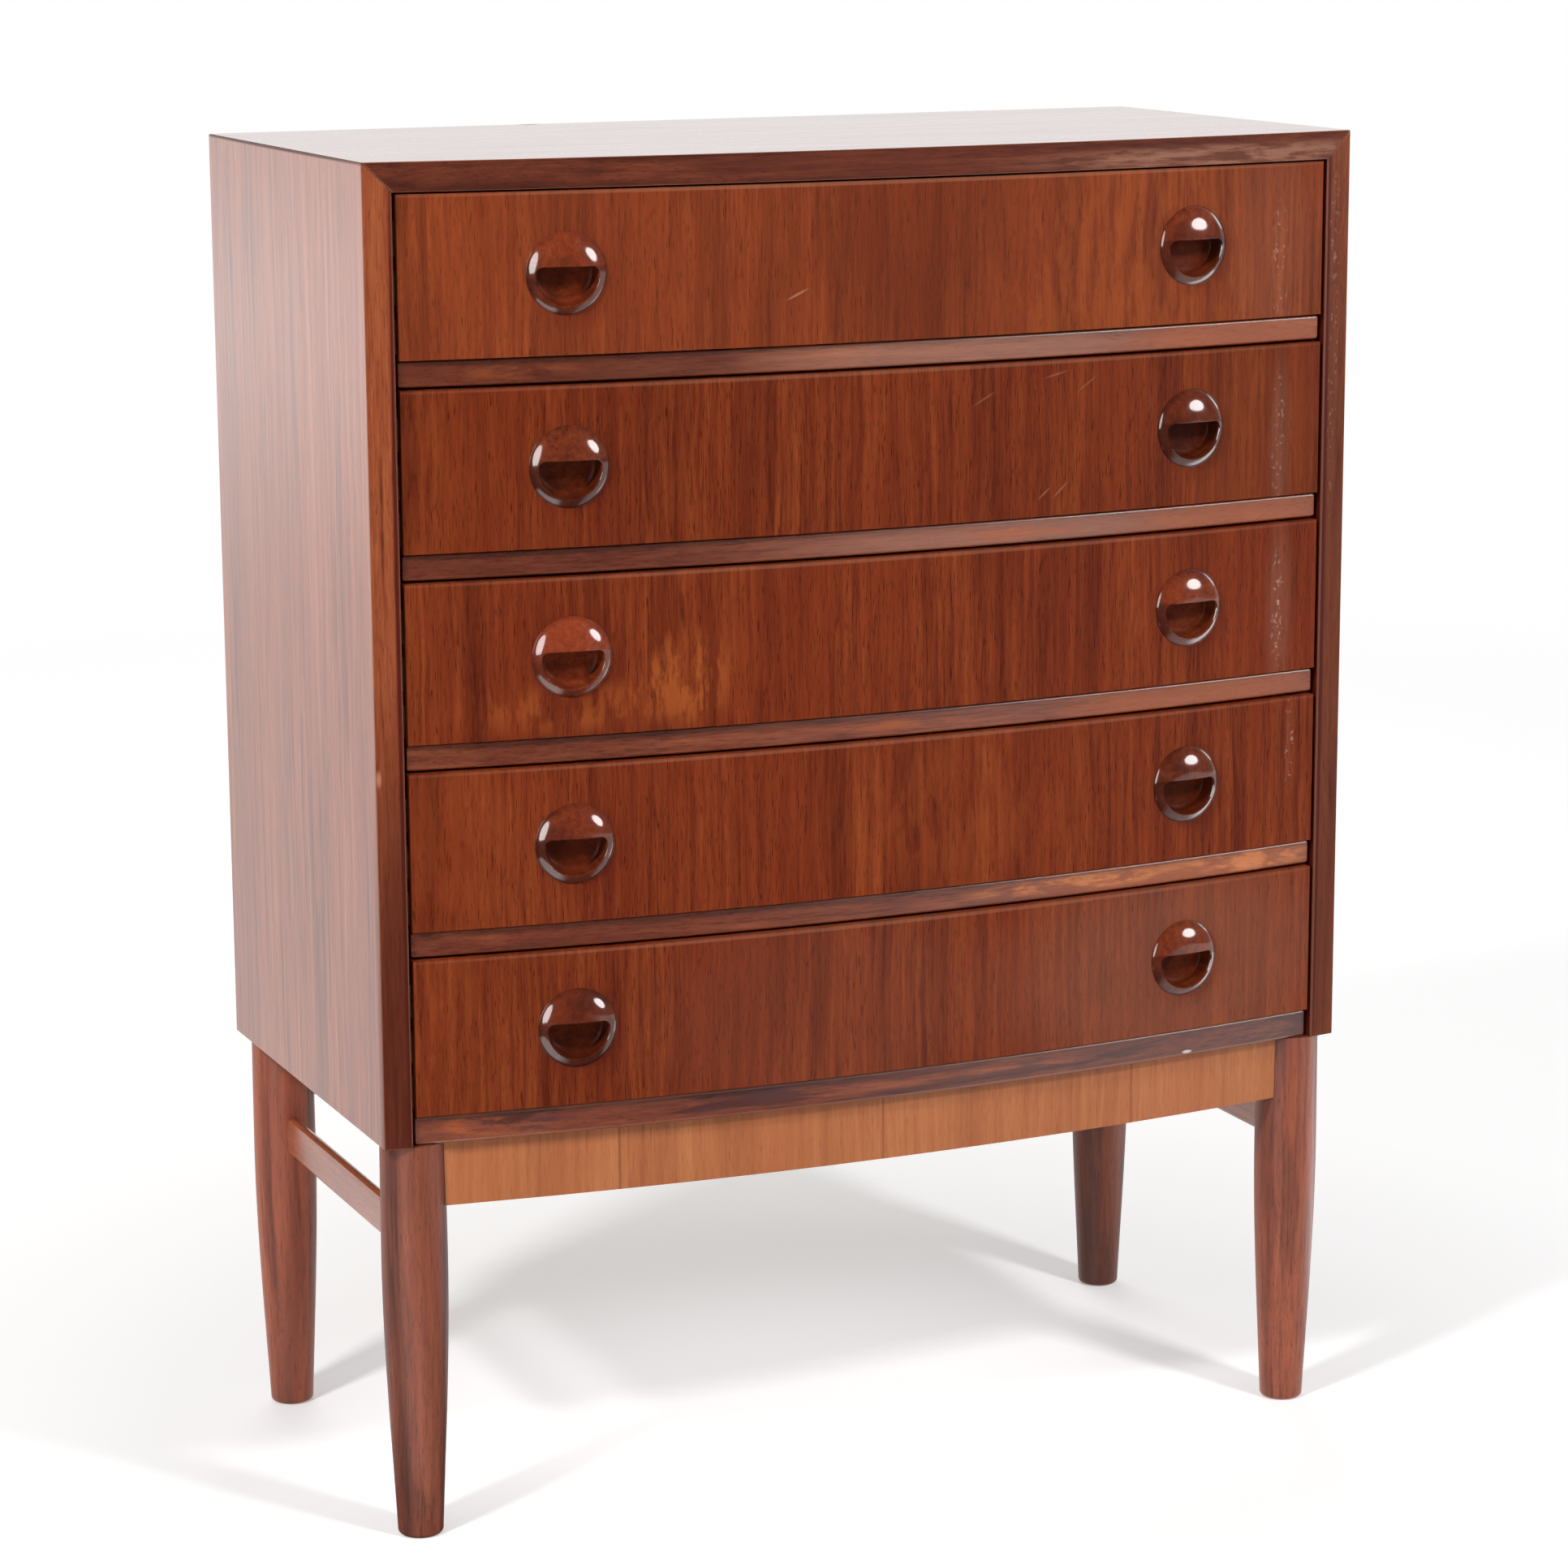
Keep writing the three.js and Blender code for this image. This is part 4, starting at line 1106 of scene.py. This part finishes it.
def add_lamp(name, shape, place, width, height, power):
    """A lamp that points at the chest and that the camera doesn't see."""
    lamp = bpy.data.lights.new(name, "AREA")
    lamp.shape = shape
    lamp.size = width
    lamp.size_y = height
    lamp.energy = power
    made = bpy.data.objects.new(name, lamp)
    made.location = place
    made.rotation_euler = (Vector(LAMP_TARGET) - Vector(place)).to_track_quat("-Z", "Y").to_euler()
    made.visible_camera = False
    bpy.context.collection.objects.link(made)
    return made


def ellipse_area(width, height):
    return math.pi * width * height / 4


def build_lamps():
    """Softboxes that light the chest, and windows that show on all its gloss but the top's."""
    for name, *settings in SOFTBOXES:
        softbox = add_lamp(name, "RECTANGLE", *settings)
        softbox.visible_glossy = False
    spared = bpy.data.collections.new("spared_by_windows")
    spared.objects.link(NODES["top_panel"])
    spared.collection_objects[0].light_linking.link_state = "EXCLUDE"
    for name, ahead, half_width, half_height, brightness in WINDOWS:
        place = Vector(LAMP_TARGET) + WINDOW_DISTANCE * Vector(ahead).normalized()
        width = 2 * half_width * WINDOW_DISTANCE
        height = 2 * half_height * WINDOW_DISTANCE
        power = brightness * math.pi * ellipse_area(width, height)
        window = add_lamp(name, "ELLIPSE", place, width, height, power)
        window.visible_diffuse = False
        window.light_linking.receiver_collection = spared


def build_camera():
    """The camera, turned by the yaw, pitch and roll that were fitted to the photograph."""
    data = bpy.data.cameras.new("camera")
    data.sensor_width = SENSOR
    data.lens = FOCAL_PIXELS / PHOTO_PIXELS * SENSOR
    data.clip_end = CAMERA_REACH
    made = bpy.data.objects.new("camera", data)
    bpy.context.collection.objects.link(made)
    ahead = Vector((math.sin(CAMERA_YAW) * math.cos(CAMERA_PITCH),
                    math.cos(CAMERA_YAW) * math.cos(CAMERA_PITCH), -math.sin(CAMERA_PITCH)))
    level = Vector((math.cos(CAMERA_YAW), -math.sin(CAMERA_YAW), 0))
    above = level.cross(ahead)
    right = math.cos(CAMERA_ROLL) * level + math.sin(CAMERA_ROLL) * above
    up = math.cos(CAMERA_ROLL) * above - math.sin(CAMERA_ROLL) * level
    turn = Matrix((right, up, -ahead)).transposed().to_4x4()
    made.matrix_world = Matrix.Translation(Vector(CAMERA_PLACE)) @ turn
    bpy.context.scene.camera = made


bpy.context.scene.view_settings.view_transform = "Standard"
build_camera()
build_world()
build_lamps()
build_floor()
build_case()
build_drawers()
build_base()
